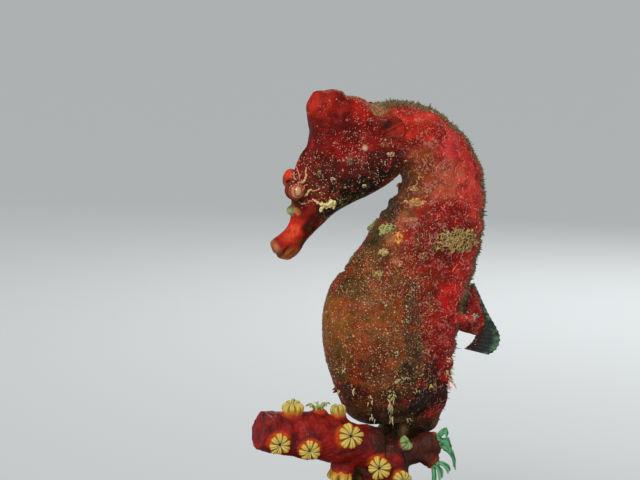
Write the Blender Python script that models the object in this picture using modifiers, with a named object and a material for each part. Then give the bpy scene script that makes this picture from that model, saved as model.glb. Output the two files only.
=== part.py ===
"""A male seahorse with a full brood pouch, its tail round a sprig of red coral on a display stand.

The animal faces -X and its left side faces -Y. +Z is up, and the origin is the middle of the
base's underside. Sizes are in millimetres until a mesh is made, and meshes are in metres.
"""

import math

import bmesh
import bpy
import numpy as np
from mathutils import Matrix, Vector

MM = 0.001
GAP = 0.3  # between two neighbours
ROOM = 0.5  # round the ringed body, in a piece hollowed to fit it
SIDE = np.array([0.0, 1.0, 0.0])

# The head: its axis runs from the neck joint to the mouth, at HEAD_DROP below level. It is turned
# to the animal's right by HEAD_YAW, and rolled about its axis, left side down, by HEAD_ROLL.
HEAD_JOINT = np.array([0.2, 0.0, 98.2])
HEAD_DROP, HEAD_YAW, HEAD_ROLL = math.radians(43), math.radians(8), math.radians(10)
SNOUT_START = 24.5
JAW_START = 29.4
EYE_ALONG, EYE_HEIGHT = 22.8, 7.35
EYE_ASIDE, EYE_RADIUS = 3.35, 1.45
TURRET_ASIDE, TURRET_RADIUS = 2.45, 2.0
RIGHT_EYE_SHIFT = (-1.3, -0.4, 0.0)  # the right turret sits further back and in: along, aside, up
NOSE_PLACE, NOSE_RADIUS = (25.8, -0.2, 3.9), 1.05  # the fleshy lump at the snout's root

# The head's outline: along the axis, crown above it, chin below it, half width, narrowing of the crown.
HEAD_ROWS = (
    (-7.0, 6.2, -6.0, 5.2, 0.15),
    (-3.2, 6.6, -6.2, 5.5, 0.18),
    (0.5, 8.0, -6.3, 5.9, 0.22),
    (5.0, 9.7, -6.2, 6.2, 0.30),
    (10.0, 10.6, -5.6, 6.1, 0.38),
    (15.0, 11.3, -4.1, 5.0, 0.38),
    (19.0, 9.9, -2.95, 4.1, 0.28),
    (22.5, 7.4, -2.65, 3.4, 0.15),
    (25.4, 4.1, -2.8, 2.5, 0.10),
    (28.0, 1.95, -3.0, 2.15, 0.0),
    (30.6, 1.65, -3.6, 2.45, 0.0),
    (32.2, 1.9, -3.4, 2.55, 0.0),
    (33.4, 1.4, -2.5, 2.05, 0.0),
    (33.8, 0.6, -1.6, 1.1, 0.0),
)
# The coronet: height over the axis, its rear and front ends along the axis, half width.
CORONET_ROWS = (
    (6.0, 0.2, 16.8, 4.1),
    (9.0, 0.7, 17.0, 3.8),
    (10.5, 1.0, 15.5, 3.6),
    (12.3, 2.3, 13.0, 3.3),
    (13.4, 3.1, 12.2, 3.1),
    (14.5, 3.0, 11.7, 2.9),
    (15.6, 3.9, 11.0, 2.5),
    (16.4, 4.8, 10.3, 2.2),
    (17.1, 5.6, 9.1, 1.9),
    (17.6, 6.2, 8.1, 1.5),
    (18.0, 6.7, 7.3, 0.9),
)

# The body in the plane y = 0, neck joint to tail's root: back x and z, front x and z, half width.
TRUNK_ROWS = (
    (-4.3, 103.8, 1.5, 91.2, 5.6),
    (-0.3, 104.2, 1.75, 90.6, 5.7),
    (4.2, 103.7, 1.9, 90.0, 5.8),
    (8.6, 101.7, 1.95, 89.4, 6.0),
    (12.6, 98.5, 1.9, 88.7, 6.2),
    (15.8, 94.4, 1.6, 87.6, 6.4),
    (17.7, 90.2, 1.0, 86.1, 6.6),
    (18.3, 85.6, -0.4, 84.3, 6.9),
    (18.2, 80.6, -2.6, 81.9, 7.3),
    (17.6, 76.0, -5.2, 78.6, 7.7),
    (16.5, 71.5, -7.8, 75.0, 8.0),
    (15.2, 67.0, -10.2, 71.9, 8.1),
    (13.9, 63.2, -9.6, 68.6, 7.9),
    (12.9, 59.6, -5.5, 65.0, 7.3),
    (12.3, 56.6, -0.5, 60.6, 6.4),
    (11.8, 53.4, 1.4, 56.0, 5.6),
    (11.4, 50.0, 2.0, 51.0, 5.1),
    (11.0, 46.6, 2.2, 46.4, 4.8),
)
VENT_ROW = 14
# The tail from there to the stem: x, y, z, half depth, half width, how far its back is turned
# from the plane y = 0 to away from the stem.
TAIL_ROOT_ROWS = (
    (5.9, 0.3, 43.2, 4.3, 4.4, 0.1),
    (3.9, 1.5, 39.8, 4.0, 4.1, 0.35),
    (1.3, 3.2, 36.9, 3.7, 3.7, 0.75),
)
TRUNK_RINGS, TAIL_RINGS = 11, 32
RING_RELIEF = 0.22  # how far a groove lies under the smooth body
RIDGE_RISE = 0.5  # how far a ridge stands proud at a ring

# The fins: the back fin's root line, its free edge, and its thickness from root to edge.
DORSAL_ROOT = ((12.0, 0.0, 68.6), (10.0, 0.0, 58.2))
DORSAL_EDGE = (
    (17.0, 0.0, 67.3),
    (18.4, 0.0, 64.6),
    (19.9, 0.0, 61.3),
    (21.6, 0.0, 58.4),
    (22.9, 0.0, 55.3),
    (22.1, 0.0, 53.3),
    (20.3, 0.0, 52.4),
)
DORSAL_THICKNESS = (3.2, 2.7, 1.5, 0.8, 0.6)

# The pouch under the tail's root: height, front and rear ends along x, half width.
POUCH_ROWS = (
    (72.0, -9.4, -4.0, 1.6),
    (70.6, -11.4, 0.0, 5.0),
    (67.5, -13.6, 4.0, 7.8),
    (62.5, -14.8, 6.5, 9.3),
    (57.0, -14.8, 7.5, 9.7),
    (52.0, -13.8, 8.0, 9.4),
    (47.5, -12.3, 8.0, 8.3),
    (44.2, -11.0, 6.8, 6.9),
    (42.1, -9.7, 5.0, 5.3),
    (40.6, -7.4, 2.6, 3.2),
)

# The blunt spine on either side of the back fin: foot and tip.
FIN_SPINE = (((10.2, -3.9, 60.7), (15.3, -5.1, 61.2)),)
# The pouch's lower spines: degrees round from the rear, height of the foot, length.
POUCH_SPINES = (
    (180, 47.6, 1.3),
    (152, 47.2, 1.2),
    (125, 46.6, 1.3),
    (100, 46.2, 1.7),
    (72, 46.4, 1.2),
    (48, 47.6, 1.3),
)

# The coil of the tail round the stem: degrees round from +x, height.
STEM_X, STEM_Y, STEM_RADIUS = -3.2, -3.6, 4.2
STEM_FOOT = 12.5
COIL_ROWS = (
    (76, 34.0),
    (92, 31.2),
    (112, 28.9),
    (138, 27.0),
    (180, 25.2),
    (230, 23.9),
    (290, 22.6),
    (360, 21.4),
    (450, 20.2),
    (520, 19.4),
    (590, 18.7),
)
COIL_TAIL_START, TAIL_TIP = 3.3, 0.55

# The stand.
BASE_SIZE = (84.0, 58.0, 5.0)
BASE_EDGE = 1.0
ROD_RADIUS = 2.0

# Half of a body section's corners, in degrees from the back to the belly, and its ridges.
TRUNK_ANGLES, TRUNK_RIDGES = (0, 14, 28, 46, 66, 85, 103, 122, 141, 154, 167, 180), (28, 85, 141)
TAIL_ANGLES, TAIL_RIDGES = (0, 24, 46, 68, 92, 116, 138, 160, 180), (46, 138)

RED = (0.42, 0.02, 0.02)
COLOURS = {
    "coronet": ((0.55, 0.05, 0.02), 0.5),
    "head": ((0.26, 0.02, 0.015), 0.5),
    "snout": ((0.52, 0.10, 0.05), 0.45),
    "eye": ((0.45, 0.30, 0.16), 0.15),
    "trunk": (RED, 0.5),
    "pouch": ((0.24, 0.12, 0.05), 0.55),
    "tail": ((0.16, 0.07, 0.03), 0.55),
    "fin": ((0.35, 0.06, 0.05), 0.4),
    "coral": ((0.30, 0.01, 0.02), 0.6),
    "wood": ((0.10, 0.06, 0.04), 0.45),
    "steel": ((0.55, 0.55, 0.57), 0.3),
}


# ---------------------------------------------------------------- curves and frames


class Curve:
    """A natural cubic spline through rows of numbers, read by a length along it."""

    def __init__(self, rows, places=None):
        self.rows = np.array(rows, float)
        if places is None:
            steps = np.linalg.norm(np.diff(self.rows[:, :3], axis=0), axis=1)
            places = np.concatenate([[0.0], np.cumsum(steps)])
        self.at = np.array(places, float)
        step = np.diff(self.at)
        count = len(self.at)
        left, right = np.eye(count), np.zeros_like(self.rows)
        for i in range(1, count - 1):
            left[i, i - 1 : i + 2] = step[i - 1], 2 * (step[i - 1] + step[i]), step[i]
            rise = (self.rows[i + 1] - self.rows[i]) / step[i]
            right[i] = 6 * (rise - (self.rows[i] - self.rows[i - 1]) / step[i - 1])
        self.bend = np.linalg.solve(left, right)

    def __call__(self, s):
        i = int(np.clip(np.searchsorted(self.at, s) - 1, 0, len(self.at) - 2))
        h = self.at[i + 1] - self.at[i]
        p = (self.at[i + 1] - s) / h
        q = 1 - p
        bend = (p**3 - p) * self.bend[i] + (q**3 - q) * self.bend[i + 1]
        return p * self.rows[i] + q * self.rows[i + 1] + bend * h * h / 6

    def tangent(self, s):
        return unit(self(s + 0.05)[:3] - self(s - 0.05)[:3])


def unit(v):
    return v / np.linalg.norm(v)


def trunk_stations():
    """Middle, half depth and half width, the two as vectors, at the rows of the trunk."""
    stations = []
    for back_x, back_z, front_x, front_z, half_width in TRUNK_ROWS:
        back, front = np.array([back_x, 0, back_z]), np.array([front_x, 0, front_z])
        stations.append([*(back + front) / 2, *(back - front) / 2, *SIDE * half_width])
    return stations


def coil_rows():
    """The tail's rows round the stem, in the terms of TAIL_ROOT_ROWS."""
    heights = Curve(np.array(COIL_ROWS)[:, 1:], np.array(COIL_ROWS)[:, 0])
    rows = []
    for share in np.linspace(0, 1, 17):
        degrees = COIL_ROWS[0][0] + (COIL_ROWS[-1][0] - COIL_ROWS[0][0]) * share
        radius = COIL_TAIL_START + (TAIL_TIP - COIL_TAIL_START) * share
        angle = math.radians(degrees)
        reach = STEM_RADIUS + radius + 0.45
        x, y = STEM_X + reach * math.cos(angle), STEM_Y + reach * math.sin(angle)
        rows.append((x, y, heights(degrees)[0], radius, radius, 1.0))
    return tuple(rows)


def tail_stations():
    """The same for the tail: its back turns from the plane y = 0 to away from the stem."""
    rows = np.array(TAIL_ROOT_ROWS + coil_rows())
    before = np.array(trunk_stations())[-3:, :3]
    line = Curve(np.concatenate([before, rows[:, :3]]))
    stations = []
    for row, place in zip(rows, line.at[3:]):
        ahead = line.tangent(min(place, line.at[-1] - 0.1))
        outward = unit((row[:3] - (STEM_X, STEM_Y, 0)) * (1, 1, 0))
        back = (1 - row[5]) * unit(np.cross(ahead, SIDE)) + row[5] * outward
        back = unit(back - ahead * np.dot(back, ahead))
        side = np.cross(back, ahead)
        stations.append([*row[:3], *back * row[3], *side * row[4]])
    return stations


BODY = Curve(np.array(trunk_stations() + tail_stations()))
VENT = BODY.at[VENT_ROW]
BODY_END = BODY.at[-1]


def ring_edges(start, end, count, last_share):
    """Where the grooves between rings lie: the last ring is last_share of the first's length."""
    widths = np.linspace(1.0, last_share, count)
    edges = np.concatenate([[0.0], np.cumsum(widths)]) / widths.sum()
    return start + (end - start) * edges


TRUNK_EDGES = ring_edges(0.0, VENT, TRUNK_RINGS, 0.95)
TAIL_EDGES = ring_edges(VENT, BODY_END, TAIL_RINGS, 0.4)


def ridge_share(degrees, ridges):
    """1 on a ridge, 0 well away from one."""
    return max(0.0, 1 - min(abs(degrees - ridge) for ridge in ridges) / 12.0)


def body_section(s, crest, tail, grow=0.0):
    """The body's outline at s. crest is 1 on a ring and 0 in the groove between two."""
    angles, ridges = (TAIL_ANGLES, TAIL_RIDGES) if tail else (TRUNK_ANGLES, TRUNK_RIDGES)
    row = BODY(s)
    middle, depth, width = row[:3], row[3:6], row[6:9]
    reach = np.linalg.norm(depth), np.linalg.norm(width)
    size = min(1.0, reach[1] / 7.0 + 0.2)  # the relief fades with the tail's thickness
    points = []
    for degrees in angles + tuple(-a for a in angles[-2:0:-1]):
        angle = math.radians(degrees)
        rise = RIDGE_RISE * crest * ridge_share(abs(degrees), ridges) * size
        rise += grow - RING_RELIEF * (1 - crest) * size
        points.append(
            middle
            + depth * (1 + rise / reach[0]) * math.cos(angle)
            + width * (1 + rise / reach[1]) * math.sin(angle)
        )
    return points


def body_rings(edges, tail=False):
    """Outlines over the rings between edges: a groove at each edge and a crest halfway."""
    places = [(edges[0] + GAP / 2, 0.0)]
    for k, (low, high) in enumerate(zip(edges[:-1], edges[1:])):
        if k:
            places.append((low, 0.0))
        places.append(((low + high) / 2, 1.0))
    places.append((edges[-1] - GAP / 2, 0.0))
    return [body_section(s, crest, tail) for s, crest in places]


def body_room(first, last, count):
    """Outlines of the room the body takes up between two lengths along it, and a gap round it."""
    return [body_section(s, 1.0, False, ROOM) for s in np.linspace(first, last, count)]


# ---------------------------------------------------------------- the head's own frame

HEAD_TURN = np.array(
    Matrix.Rotation(-HEAD_YAW, 3, "Z")
    @ Matrix.Rotation(-HEAD_DROP, 3, "Y")
    @ Matrix.Rotation(HEAD_ROLL, 3, "X")
)
HEAD_AHEAD, HEAD_SIDE, HEAD_UP = -HEAD_TURN[:, 0], HEAD_TURN[:, 1], HEAD_TURN[:, 2]


def in_head(along, aside, height):
    """A point of the head's frame in the part's frame."""
    return HEAD_JOINT + HEAD_AHEAD * along + HEAD_SIDE * aside + HEAD_UP * height


def head_sections(grow=0.0, count=18, sides=20):
    """Egg-shaped outlines from behind the neck joint to the lips."""
    rows = np.array(HEAD_ROWS)
    outline = Curve(rows[:, 1:], rows[:, 0])
    places = np.concatenate([np.linspace(rows[0, 0], 30.0, count), rows[-4:, 0]])
    sections = []
    for along in places:
        crown, chin, half_width, narrowing = outline(along)
        middle, half_height = (crown + chin) / 2, (crown - chin) / 2
        points = []
        for k in range(sides):
            angle = math.tau * k / sides
            height, aside = math.cos(angle), math.sin(angle)
            width = half_width * (1 - narrowing * (height + 0.35))
            points.append(
                in_head(
                    along,
                    (width + grow) * aside,
                    middle + (half_height + grow) * height,
                )
            )
        sections.append(points)
    return sections


def neck_plane():
    """A point and the direction of the plane between the head and the neck."""
    joint = BODY(0.0)
    return joint[:3], unit(np.cross(joint[6:9], joint[3:6]))


def coronet_sections(sides=16):
    """Rounded oblongs stacked up from inside the skull to the crest's top."""
    sections = []
    for height, rear, front, half_width in CORONET_ROWS:
        points = []
        for k in range(sides):
            angle = math.tau * k / sides
            bulge = (abs(math.cos(angle)) ** 2.6 + abs(math.sin(angle)) ** 2.6) ** (-1 / 2.6)
            along = (rear + front) / 2 + (front - rear) / 2 * bulge * math.cos(angle)
            points.append(in_head(along, half_width * bulge * math.sin(angle), height))
        sections.append(points)
    return sections


def pouch_spines():
    """Feet and tips of the spines round the pouch's lower end, on both sides."""
    rows = np.array(POUCH_ROWS)[::-1]
    found = []
    for degrees, height, length in POUCH_SPINES:
        front, rear, half_width = (np.interp(height, rows[:, 0], rows[:, k]) for k in (1, 2, 3))
        for angle in {math.radians(degrees), math.radians(-degrees % 360)}:
            away = np.array([math.cos(angle), math.sin(angle), -0.6])
            reach = np.array([(rear - front) / 2, half_width, 0.0])
            skin = np.array([(front + rear) / 2, 0.0, height]) + reach * away
            found.append((skin - away * 0.8, skin + unit(away) * length))
    return sorted(found, key=lambda pair: tuple(pair[0]))


# ---------------------------------------------------------------- making objects


def clear():
    for obj in list(bpy.data.objects):
        bpy.data.objects.remove(obj)


def collection(name, hidden=False):
    made = bpy.data.collections.new(name)
    bpy.context.scene.collection.children.link(made)
    made.hide_render = hidden
    return made


def material(name):
    found = bpy.data.materials.get(name)
    if found:
        return found
    colour, roughness = COLOURS[name]
    made = bpy.data.materials.new(name)
    made.use_nodes = True
    shader = made.node_tree.nodes["Principled BSDF"]
    shader.inputs["Base Color"].default_value = (*colour, 1)
    shader.inputs["Roughness"].default_value = roughness
    shader.inputs["Metallic"].default_value = 1.0 if name == "steel" else 0.0
    return made


def finish(name, bm, finish_name, home):
    """Turns the mesh, in millimetres, into an object of the collection."""
    bmesh.ops.transform(bm, matrix=Matrix.Scale(MM, 4), verts=bm.verts)
    bmesh.ops.recalc_face_normals(bm, faces=bm.faces)
    mesh = bpy.data.meshes.new(name)
    bm.to_mesh(mesh)
    bm.free()
    mesh.shade_smooth()
    obj = bpy.data.objects.new(name, mesh)
    home.objects.link(obj)
    if finish_name:
        obj.data.materials.append(material(finish_name))
    else:
        obj.hide_render = True
        obj.display_type = "WIRE"
    return obj


def loft(sections):
    """A closed mesh through outlines with the same number of points, capped at both ends."""
    bm = bmesh.new()
    rings = [[bm.verts.new(p) for p in section] for section in sections]
    count = len(rings[0])
    for low, high in zip(rings[:-1], rings[1:]):
        for k in range(count):
            n = (k + 1) % count
            bm.faces.new((low[k], low[n], high[n], high[k]))
    bm.faces.new(rings[0])
    bm.faces.new(rings[-1])
    bmesh.ops.recalc_face_normals(bm, faces=bm.faces)
    return bm


def keep_side(bm, point, direction):
    """Cuts the mesh by a plane, keeps what lies behind it and closes the cut."""
    cut = bmesh.ops.bisect_plane(
        bm,
        geom=bm.verts[:] + bm.edges[:] + bm.faces[:],
        dist=1e-6,
        plane_co=Vector(point),
        plane_no=Vector(direction),
        clear_outer=True,
    )
    edges = [e for e in cut["geom_cut"] if isinstance(e, bmesh.types.BMEdge)]
    bmesh.ops.contextual_create(bm, geom=edges)


def ball(radius, middle, stretch=(1, 1, 1), across=14, up=9):
    bm = bmesh.new()
    bmesh.ops.create_uvsphere(bm, u_segments=across, v_segments=up, radius=radius)
    bmesh.ops.scale(bm, vec=stretch, verts=bm.verts)
    bmesh.ops.translate(bm, vec=Vector(middle), verts=bm.verts)
    return bm


def spikes(feet_and_tips, radius, sides=5):
    """Blunt cones from each foot to its tip, in one mesh; they stand clear of each other."""
    bm = bmesh.new()
    for foot, tip in feet_and_tips:
        foot, tip = np.array(foot, float), np.array(tip, float)
        across = unit(np.cross(tip - foot, (0.31, 0.2, 0.93)))
        other = np.cross(unit(tip - foot), across)
        low = [bm.verts.new(foot + p) for p in circle(across, other, radius, sides)]
        high = [bm.verts.new(tip + p) for p in circle(across, other, radius * 0.4, sides)]
        for k in range(sides):
            n = (k + 1) % sides
            bm.faces.new((low[k], low[n], high[n], high[k]))
        bm.faces.new(low)
        bm.faces.new(high)
    return bm


def circle(across, other, radius, sides):
    angles = [math.tau * k / sides for k in range(sides)]
    return [radius * (across * math.cos(a) + other * math.sin(a)) for a in angles]


def boolean(obj, other, operation):
    modifier = obj.modifiers.new(f"{operation.lower()}_{other.name}", "BOOLEAN")
    modifier.operation = operation
    modifier.object = other
    modifier.solver = "EXACT"


# ---------------------------------------------------------------- the animal


def make_head(parts, cutters):
    """Skull, snout and lower jaw: one outline, parted across the snout and along the mouth."""
    joint, ahead = neck_plane()
    skull = loft(head_sections())
    keep_side(skull, joint - ahead * GAP / 2, ahead)
    keep_side(skull, in_head(SNOUT_START - GAP / 2, 0, 0), HEAD_AHEAD)
    head = finish("head", skull, "head", parts)
    crown = loft(coronet_sections())
    keep_side(crown, joint - ahead * GAP / 2, ahead)
    coronet = finish("coronet", crown, "coronet", parts)
    skull_room = finish("skull_room", loft(head_sections(grow=GAP)), None, cutters)
    boolean(coronet, skull_room, "DIFFERENCE")
    for side, name, (back, out, lift) in ((-1, "left", (0, 0, 0)), (1, "right", RIGHT_EYE_SHIFT)):
        along, height = EYE_ALONG + back, EYE_HEIGHT + lift
        middle = in_head(along, side * (EYE_ASIDE + out), height)
        turret = finish(
            f"turret_{name}",
            ball(TURRET_RADIUS, in_head(along, side * (TURRET_ASIDE + out), height)),
            None,
            cutters,
        )
        boolean(head, turret, "UNION")
        socket = finish(f"socket_{name}", ball(EYE_RADIUS + GAP, middle), None, cutters)
        boolean(head, socket, "DIFFERENCE")
        finish(f"eye_{name}", ball(EYE_RADIUS, middle), "eye", parts)

    snout = loft(head_sections())
    keep_side(snout, in_head(SNOUT_START + GAP / 2, 0, 0), -HEAD_AHEAD)
    jaw = snout.copy()
    keep_side(jaw, in_head(JAW_START + GAP, 0, 0), -HEAD_AHEAD)
    keep_side(jaw, in_head(0, 0, -GAP), HEAD_UP)
    upper = finish("snout", snout, "snout", parts)
    finish("lower_jaw", jaw, "snout", parts)
    lump = ball(NOSE_RADIUS, in_head(*NOSE_PLACE), across=8, up=6)
    boolean(upper, finish("nose_lump", lump, None, cutters), "UNION")
    room = bmesh.new()
    bmesh.ops.create_cube(room, size=12.0)
    turn = Matrix(np.column_stack([HEAD_AHEAD, HEAD_SIDE, HEAD_UP])).to_4x4()
    middle = in_head(JAW_START + 6.0, 0, -6.0)
    bmesh.ops.transform(room, matrix=Matrix.Translation(middle) @ turn, verts=room.verts)
    boolean(upper, finish("jaw_room", room, None, cutters), "DIFFERENCE")


def make_trunk(parts, cutters):
    """The neck's arch and the two halves of the trunk, parted in the grooves between rings."""
    for name, first, last in (("neck", 0, 4), ("trunk_upper", 4, 8), ("trunk_lower", 8, 11)):
        length = finish(name, loft(body_rings(TRUNK_EDGES[first : last + 1])), "trunk", parts)
    pair = [(mirror(foot, side), mirror(tip, side)) for foot, tip in FIN_SPINE for side in (1, -1)]
    boolean(length, finish("fin_spines", spikes(pair, 1.15, 7), None, cutters), "UNION")


def mirror(point, side):
    return (point[0], point[1] * side, point[2])


def make_tail(parts):
    """The tail in six lengths, parted in the grooves between rings."""
    stops = (0, 4, 8, 13, 18, 25, TAIL_RINGS)
    for k, (first, last) in enumerate(zip(stops[:-1], stops[1:])):
        rings = body_rings(TAIL_EDGES[first : last + 1], tail=True)
        finish(f"tail_{k + 1}", loft(rings), "tail", parts)


def make_pouch(parts, cutters):
    """The brood pouch, an egg hollowed behind to fit the trunk's end and the tail's root."""
    sections = []
    for height, front, rear, half_width in POUCH_ROWS:
        points = []
        for k in range(26):
            angle = math.tau * k / 26
            x = (front + rear) / 2 + (rear - front) / 2 * math.cos(angle)
            points.append(np.array([x, half_width * math.sin(angle), height]))
        sections.append(points)
    pouch = finish("brood_pouch", loft(sections), "pouch", parts)
    boolean(pouch, finish("pouch_spines", spikes(pouch_spines(), 0.55), None, cutters), "UNION")
    room = finish("body_room", loft(body_room(TRUNK_EDGES[7], TAIL_EDGES[9], 19)), None, cutters)
    boolean(pouch, room, "DIFFERENCE")


def fan(roots, tips, thickness, name, parts):
    """A fin: one flat section for each ray from root to tip, and a skin through them.

    thickness is given at even steps from root to tip, and the fin's faces look along y.
    """
    shares = np.linspace(0, 1, len(thickness))
    sections = []
    for root, tip in zip(roots, tips):
        ray = [np.array(root) + (np.array(tip) - root) * share for share in shares]
        left = [p - SIDE * t / 2 for p, t in zip(ray, thickness)]
        right = [p + SIDE * t / 2 for p, t in zip(ray, thickness)]
        sections.append(left + right[::-1])
    return finish(name, loft(sections), "fin", parts)


def make_fins(parts, cutters):
    """The back fin on its fleshy base, the small fins behind the gills and the one at the vent."""
    edge = Curve(DORSAL_EDGE)
    shares = np.linspace(0, 1, 11)
    tips = [edge(edge.at[-1] * share)[:3] for share in shares]
    top, low = np.array(DORSAL_ROOT)
    back_fin = fan([top + (low - top) * s for s in shares], tips, DORSAL_THICKNESS, "dorsal_fin", parts)
    behind = loft(body_room(TRUNK_EDGES[6], TAIL_EDGES[4], 10))
    trunk_room = finish("trunk_room", behind, None, cutters)
    boolean(back_fin, trunk_room, "DIFFERENCE")

    neck = loft(body_room(TRUNK_EDGES[0], TRUNK_EDGES[4], 6))
    neck_room = finish("neck_room", neck, None, cutters)
    skull_room = bpy.data.objects["skull_room"]
    for side, name in ((-1, "left"), (1, "right")):
        turns = np.radians(np.linspace(40, -70, 6))
        roots = [in_head(3.4 - 0.1 * k, side * 4.8, 5.6 - 0.5 * k) for k in range(6)]
        tips = [
            in_head(2.0 - 3.4 * math.cos(a), side * 6.9, 4.1 + 3.0 * math.sin(a)) for a in turns
        ]
        fin = fan(roots, tips, (0.7, 0.65, 0.6), f"pectoral_fin_{name}", parts)
        boolean(fin, skull_room, "DIFFERENCE")
        boolean(fin, neck_room, "DIFFERENCE")

    turns = np.radians(np.linspace(115, 185, 5))
    roots = [np.array([-8.6 - 0.3 * k, 0, 73.4 - 0.4 * k]) for k in range(5)]
    tips = [p + 2.1 * np.array([math.cos(a), 0, math.sin(a)]) for p, a in zip(roots, turns)]
    boolean(fan(roots, tips, (0.7, 0.6), "anal_fin", parts), trunk_room, "DIFFERENCE")


# ---------------------------------------------------------------- the coral and the stand


# The sprig's branches: x, y, z and radius.
ARM_ROWS = (
    (-5.5, -4.2, 36.2, 4.0),
    (-13.0, -4.7, 38.2, 4.3),
    (-18.5, -5.0, 39.8, 4.6),
    (-23.5, -5.3, 40.7, 4.3),
    (-27.0, -5.5, 41.3, 4.0),
    (-30.6, -5.7, 42.1, 3.7),
)
STEM_ROWS = (
    (STEM_X, STEM_Y, STEM_FOOT, 4.2),
    (STEM_X, STEM_Y, 20.0, STEM_RADIUS),
    (STEM_X, STEM_Y, 27.0, STEM_RADIUS),
    (STEM_X - 0.2, STEM_Y - 0.1, 32.5, 4.4),
    (STEM_X - 0.4, STEM_Y - 0.5, 37.6, 3.2),
)
STUB_ROWS = (
    (-1.0, -3.9, 34.4, 2.8),
    (3.0, -4.3, 35.3, 2.4),
    (4.6, -4.5, 36.0, 2.1),
)
# The polyps on their stout stalks: the foot in the branch, the crown's middle, the crown's radius.
ARM_POLYPS = (
    ((-23.2, -5.4, 41.5), (-24.0, -6.6, 46.8), 2.1),
    ((-17.7, -4.6, 41.5), (-17.9, -4.2, 45.6), 1.7),
    ((-13.2, -4.6, 39.5), (-13.9, -4.5, 45.1), 1.5),
    ((-12.9, -5.5, 39.0), (-13.3, -10.3, 40.6), 2.4),
    ((-27.3, -6.0, 40.0), (-27.8, -10.3, 40.0), 2.0),
    ((-20.8, -5.3, 38.8), (-21.5, -9.6, 38.1), 2.0),
    ((-12.4, -4.6, 36.0), (-13.7, -5.0, 30.8), 2.4),
    ((-16.2, -4.0, 39.5), (-16.8, 0.5, 40.4), 1.9),
    ((-24.8, -4.0, 40.6), (-25.2, -0.4, 38.2), 1.9),
)
STEM_POLYPS = (
    ((-4.4, -5.0, 32.6), (-7.2, -9.6, 33.5), 2.2),
    ((-2.6, -5.0, 29.8), (-2.0, -9.3, 30.4), 2.0),
    ((-1.9, -4.6, 35.4), (-0.1, -6.6, 37.4), 1.5),
)
STUB_POLYPS = (
    ((4.2, -4.5, 35.9), (7.6, -6.0, 37.0), 2.5),
    ((3.6, -4.6, 35.2), (6.4, -6.6, 32.0), 1.8),
)
POLYP_PROFILE = (
    (0.0, 1.05),
    (0.45, 0.95),
    (0.7, 0.75),
    (0.88, 1.0),
    (1.0, 0.85),
    (1.06, 0.35),
)


def branch_sections(rows, knots, sides=14):
    """Round outlines along a branch that swells and thins a little."""
    line = Curve(rows)
    sections = []
    for k, s in enumerate(np.linspace(0, line.at[-1], knots)):
        ahead = line.tangent(min(max(s, 0.1), line.at[-1] - 0.1))
        across = unit(np.cross(ahead, (0.3, 0.9, 0.2)))
        other = np.cross(ahead, across)
        radius = line(s)[3] * (1 + 0.04 * math.sin(2.4 * k))
        sections.append([line(s)[:3] + p for p in circle(across, other, radius, sides)])
    return sections


def polyp_body(foot, crown, radius):
    """A stout stalk with its crown of tentacles, as one turned shape."""
    foot, reach = np.array(foot), np.array(crown) - foot
    across = unit(np.cross(reach, (0.31, 0.2, 0.93)))
    other = np.cross(unit(reach), across)
    sections = []
    for height, share in POLYP_PROFILE:
        ring = circle(across, other, radius * share, 8)
        sections.append([foot + reach * height + p for p in ring])
    return loft(sections)


def make_coral(parts, cutters):
    """The sprig: a stem for the tail, an arm to the left and a stub to the right."""
    grown = [(x, y, z + (z > 37) * 0.5, radius + 0.5) for x, y, z, radius in STEM_ROWS]
    room = finish("stem_room", loft(branch_sections(grown, 11)), None, cutters)
    for k, (foot, crown, radius) in enumerate(STEM_POLYPS):
        bud = polyp_body(foot, crown + unit(np.subtract(crown, foot)) * GAP, radius + 1.5 * GAP)
        boolean(room, finish(f"bud_room_{k}", bud, None, cutters), "UNION")
    pieces = (
        ("perch_stem", STEM_ROWS, STEM_POLYPS, 11),
        ("perch_arm", ARM_ROWS, ARM_POLYPS, 9),
        ("perch_stub", STUB_ROWS, STUB_POLYPS, 4),
    )
    for name, rows, polyps, knots in pieces:
        branch = finish(name, loft(branch_sections(rows, knots)), "coral", parts)
        for k, polyp in enumerate(polyps):
            bud = finish(f"{name}_polyp_{k}", polyp_body(*polyp), None, cutters)
            boolean(branch, bud, "UNION")
        if name != "perch_stem":
            boolean(branch, room, "DIFFERENCE")


def make_stand(parts):
    """A flat base with eased edges, and one rod up to the foot of the stem."""
    bm = bmesh.new()
    bmesh.ops.create_cube(bm, size=1.0)
    bmesh.ops.scale(bm, vec=BASE_SIZE, verts=bm.verts)
    bmesh.ops.translate(bm, vec=(0, 0, BASE_SIZE[2] / 2), verts=bm.verts)
    base = finish("stand_base", bm, "wood", parts)
    corners = base.modifiers.new("edges", "BEVEL")
    corners.width = BASE_EDGE * MM
    corners.segments = 2
    low, high = BASE_SIZE[2] + GAP, STEM_FOOT - GAP
    bm = bmesh.new()
    bmesh.ops.create_cone(
        bm,
        cap_ends=True,
        segments=24,
        radius1=ROD_RADIUS,
        radius2=ROD_RADIUS,
        depth=high - low,
    )
    bmesh.ops.translate(bm, vec=(STEM_X, STEM_Y, (low + high) / 2), verts=bm.verts)
    finish("stand_rod", bm, "steel", parts)


def main():
    clear()
    parts = collection("seahorse")
    cutters = collection("cutters", hidden=True)
    make_head(parts, cutters)
    make_trunk(parts, cutters)
    make_tail(parts)
    make_pouch(parts, cutters)
    make_fins(parts, cutters)
    make_coral(parts, cutters)
    make_stand(parts)


main()
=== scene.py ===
"""Dresses a seahorse that clings to a sprig of coral on a display stand.

One skin covers the flesh from the lips to the tail's tip. Eyes, fin membranes, small growths, coral
and stand are pieces of their own. The animal faces -X, its left side faces -Y and +Z is up. Shapes
are worked out in millimetres in the frame's own axes, and meshes are made in metres.
"""

import logging
import math
from dataclasses import dataclass, field
from enum import Enum

import bmesh
import bpy
import numpy as np
from mathutils import Matrix, Vector, noise
from mathutils.bvhtree import BVHTree


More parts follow.
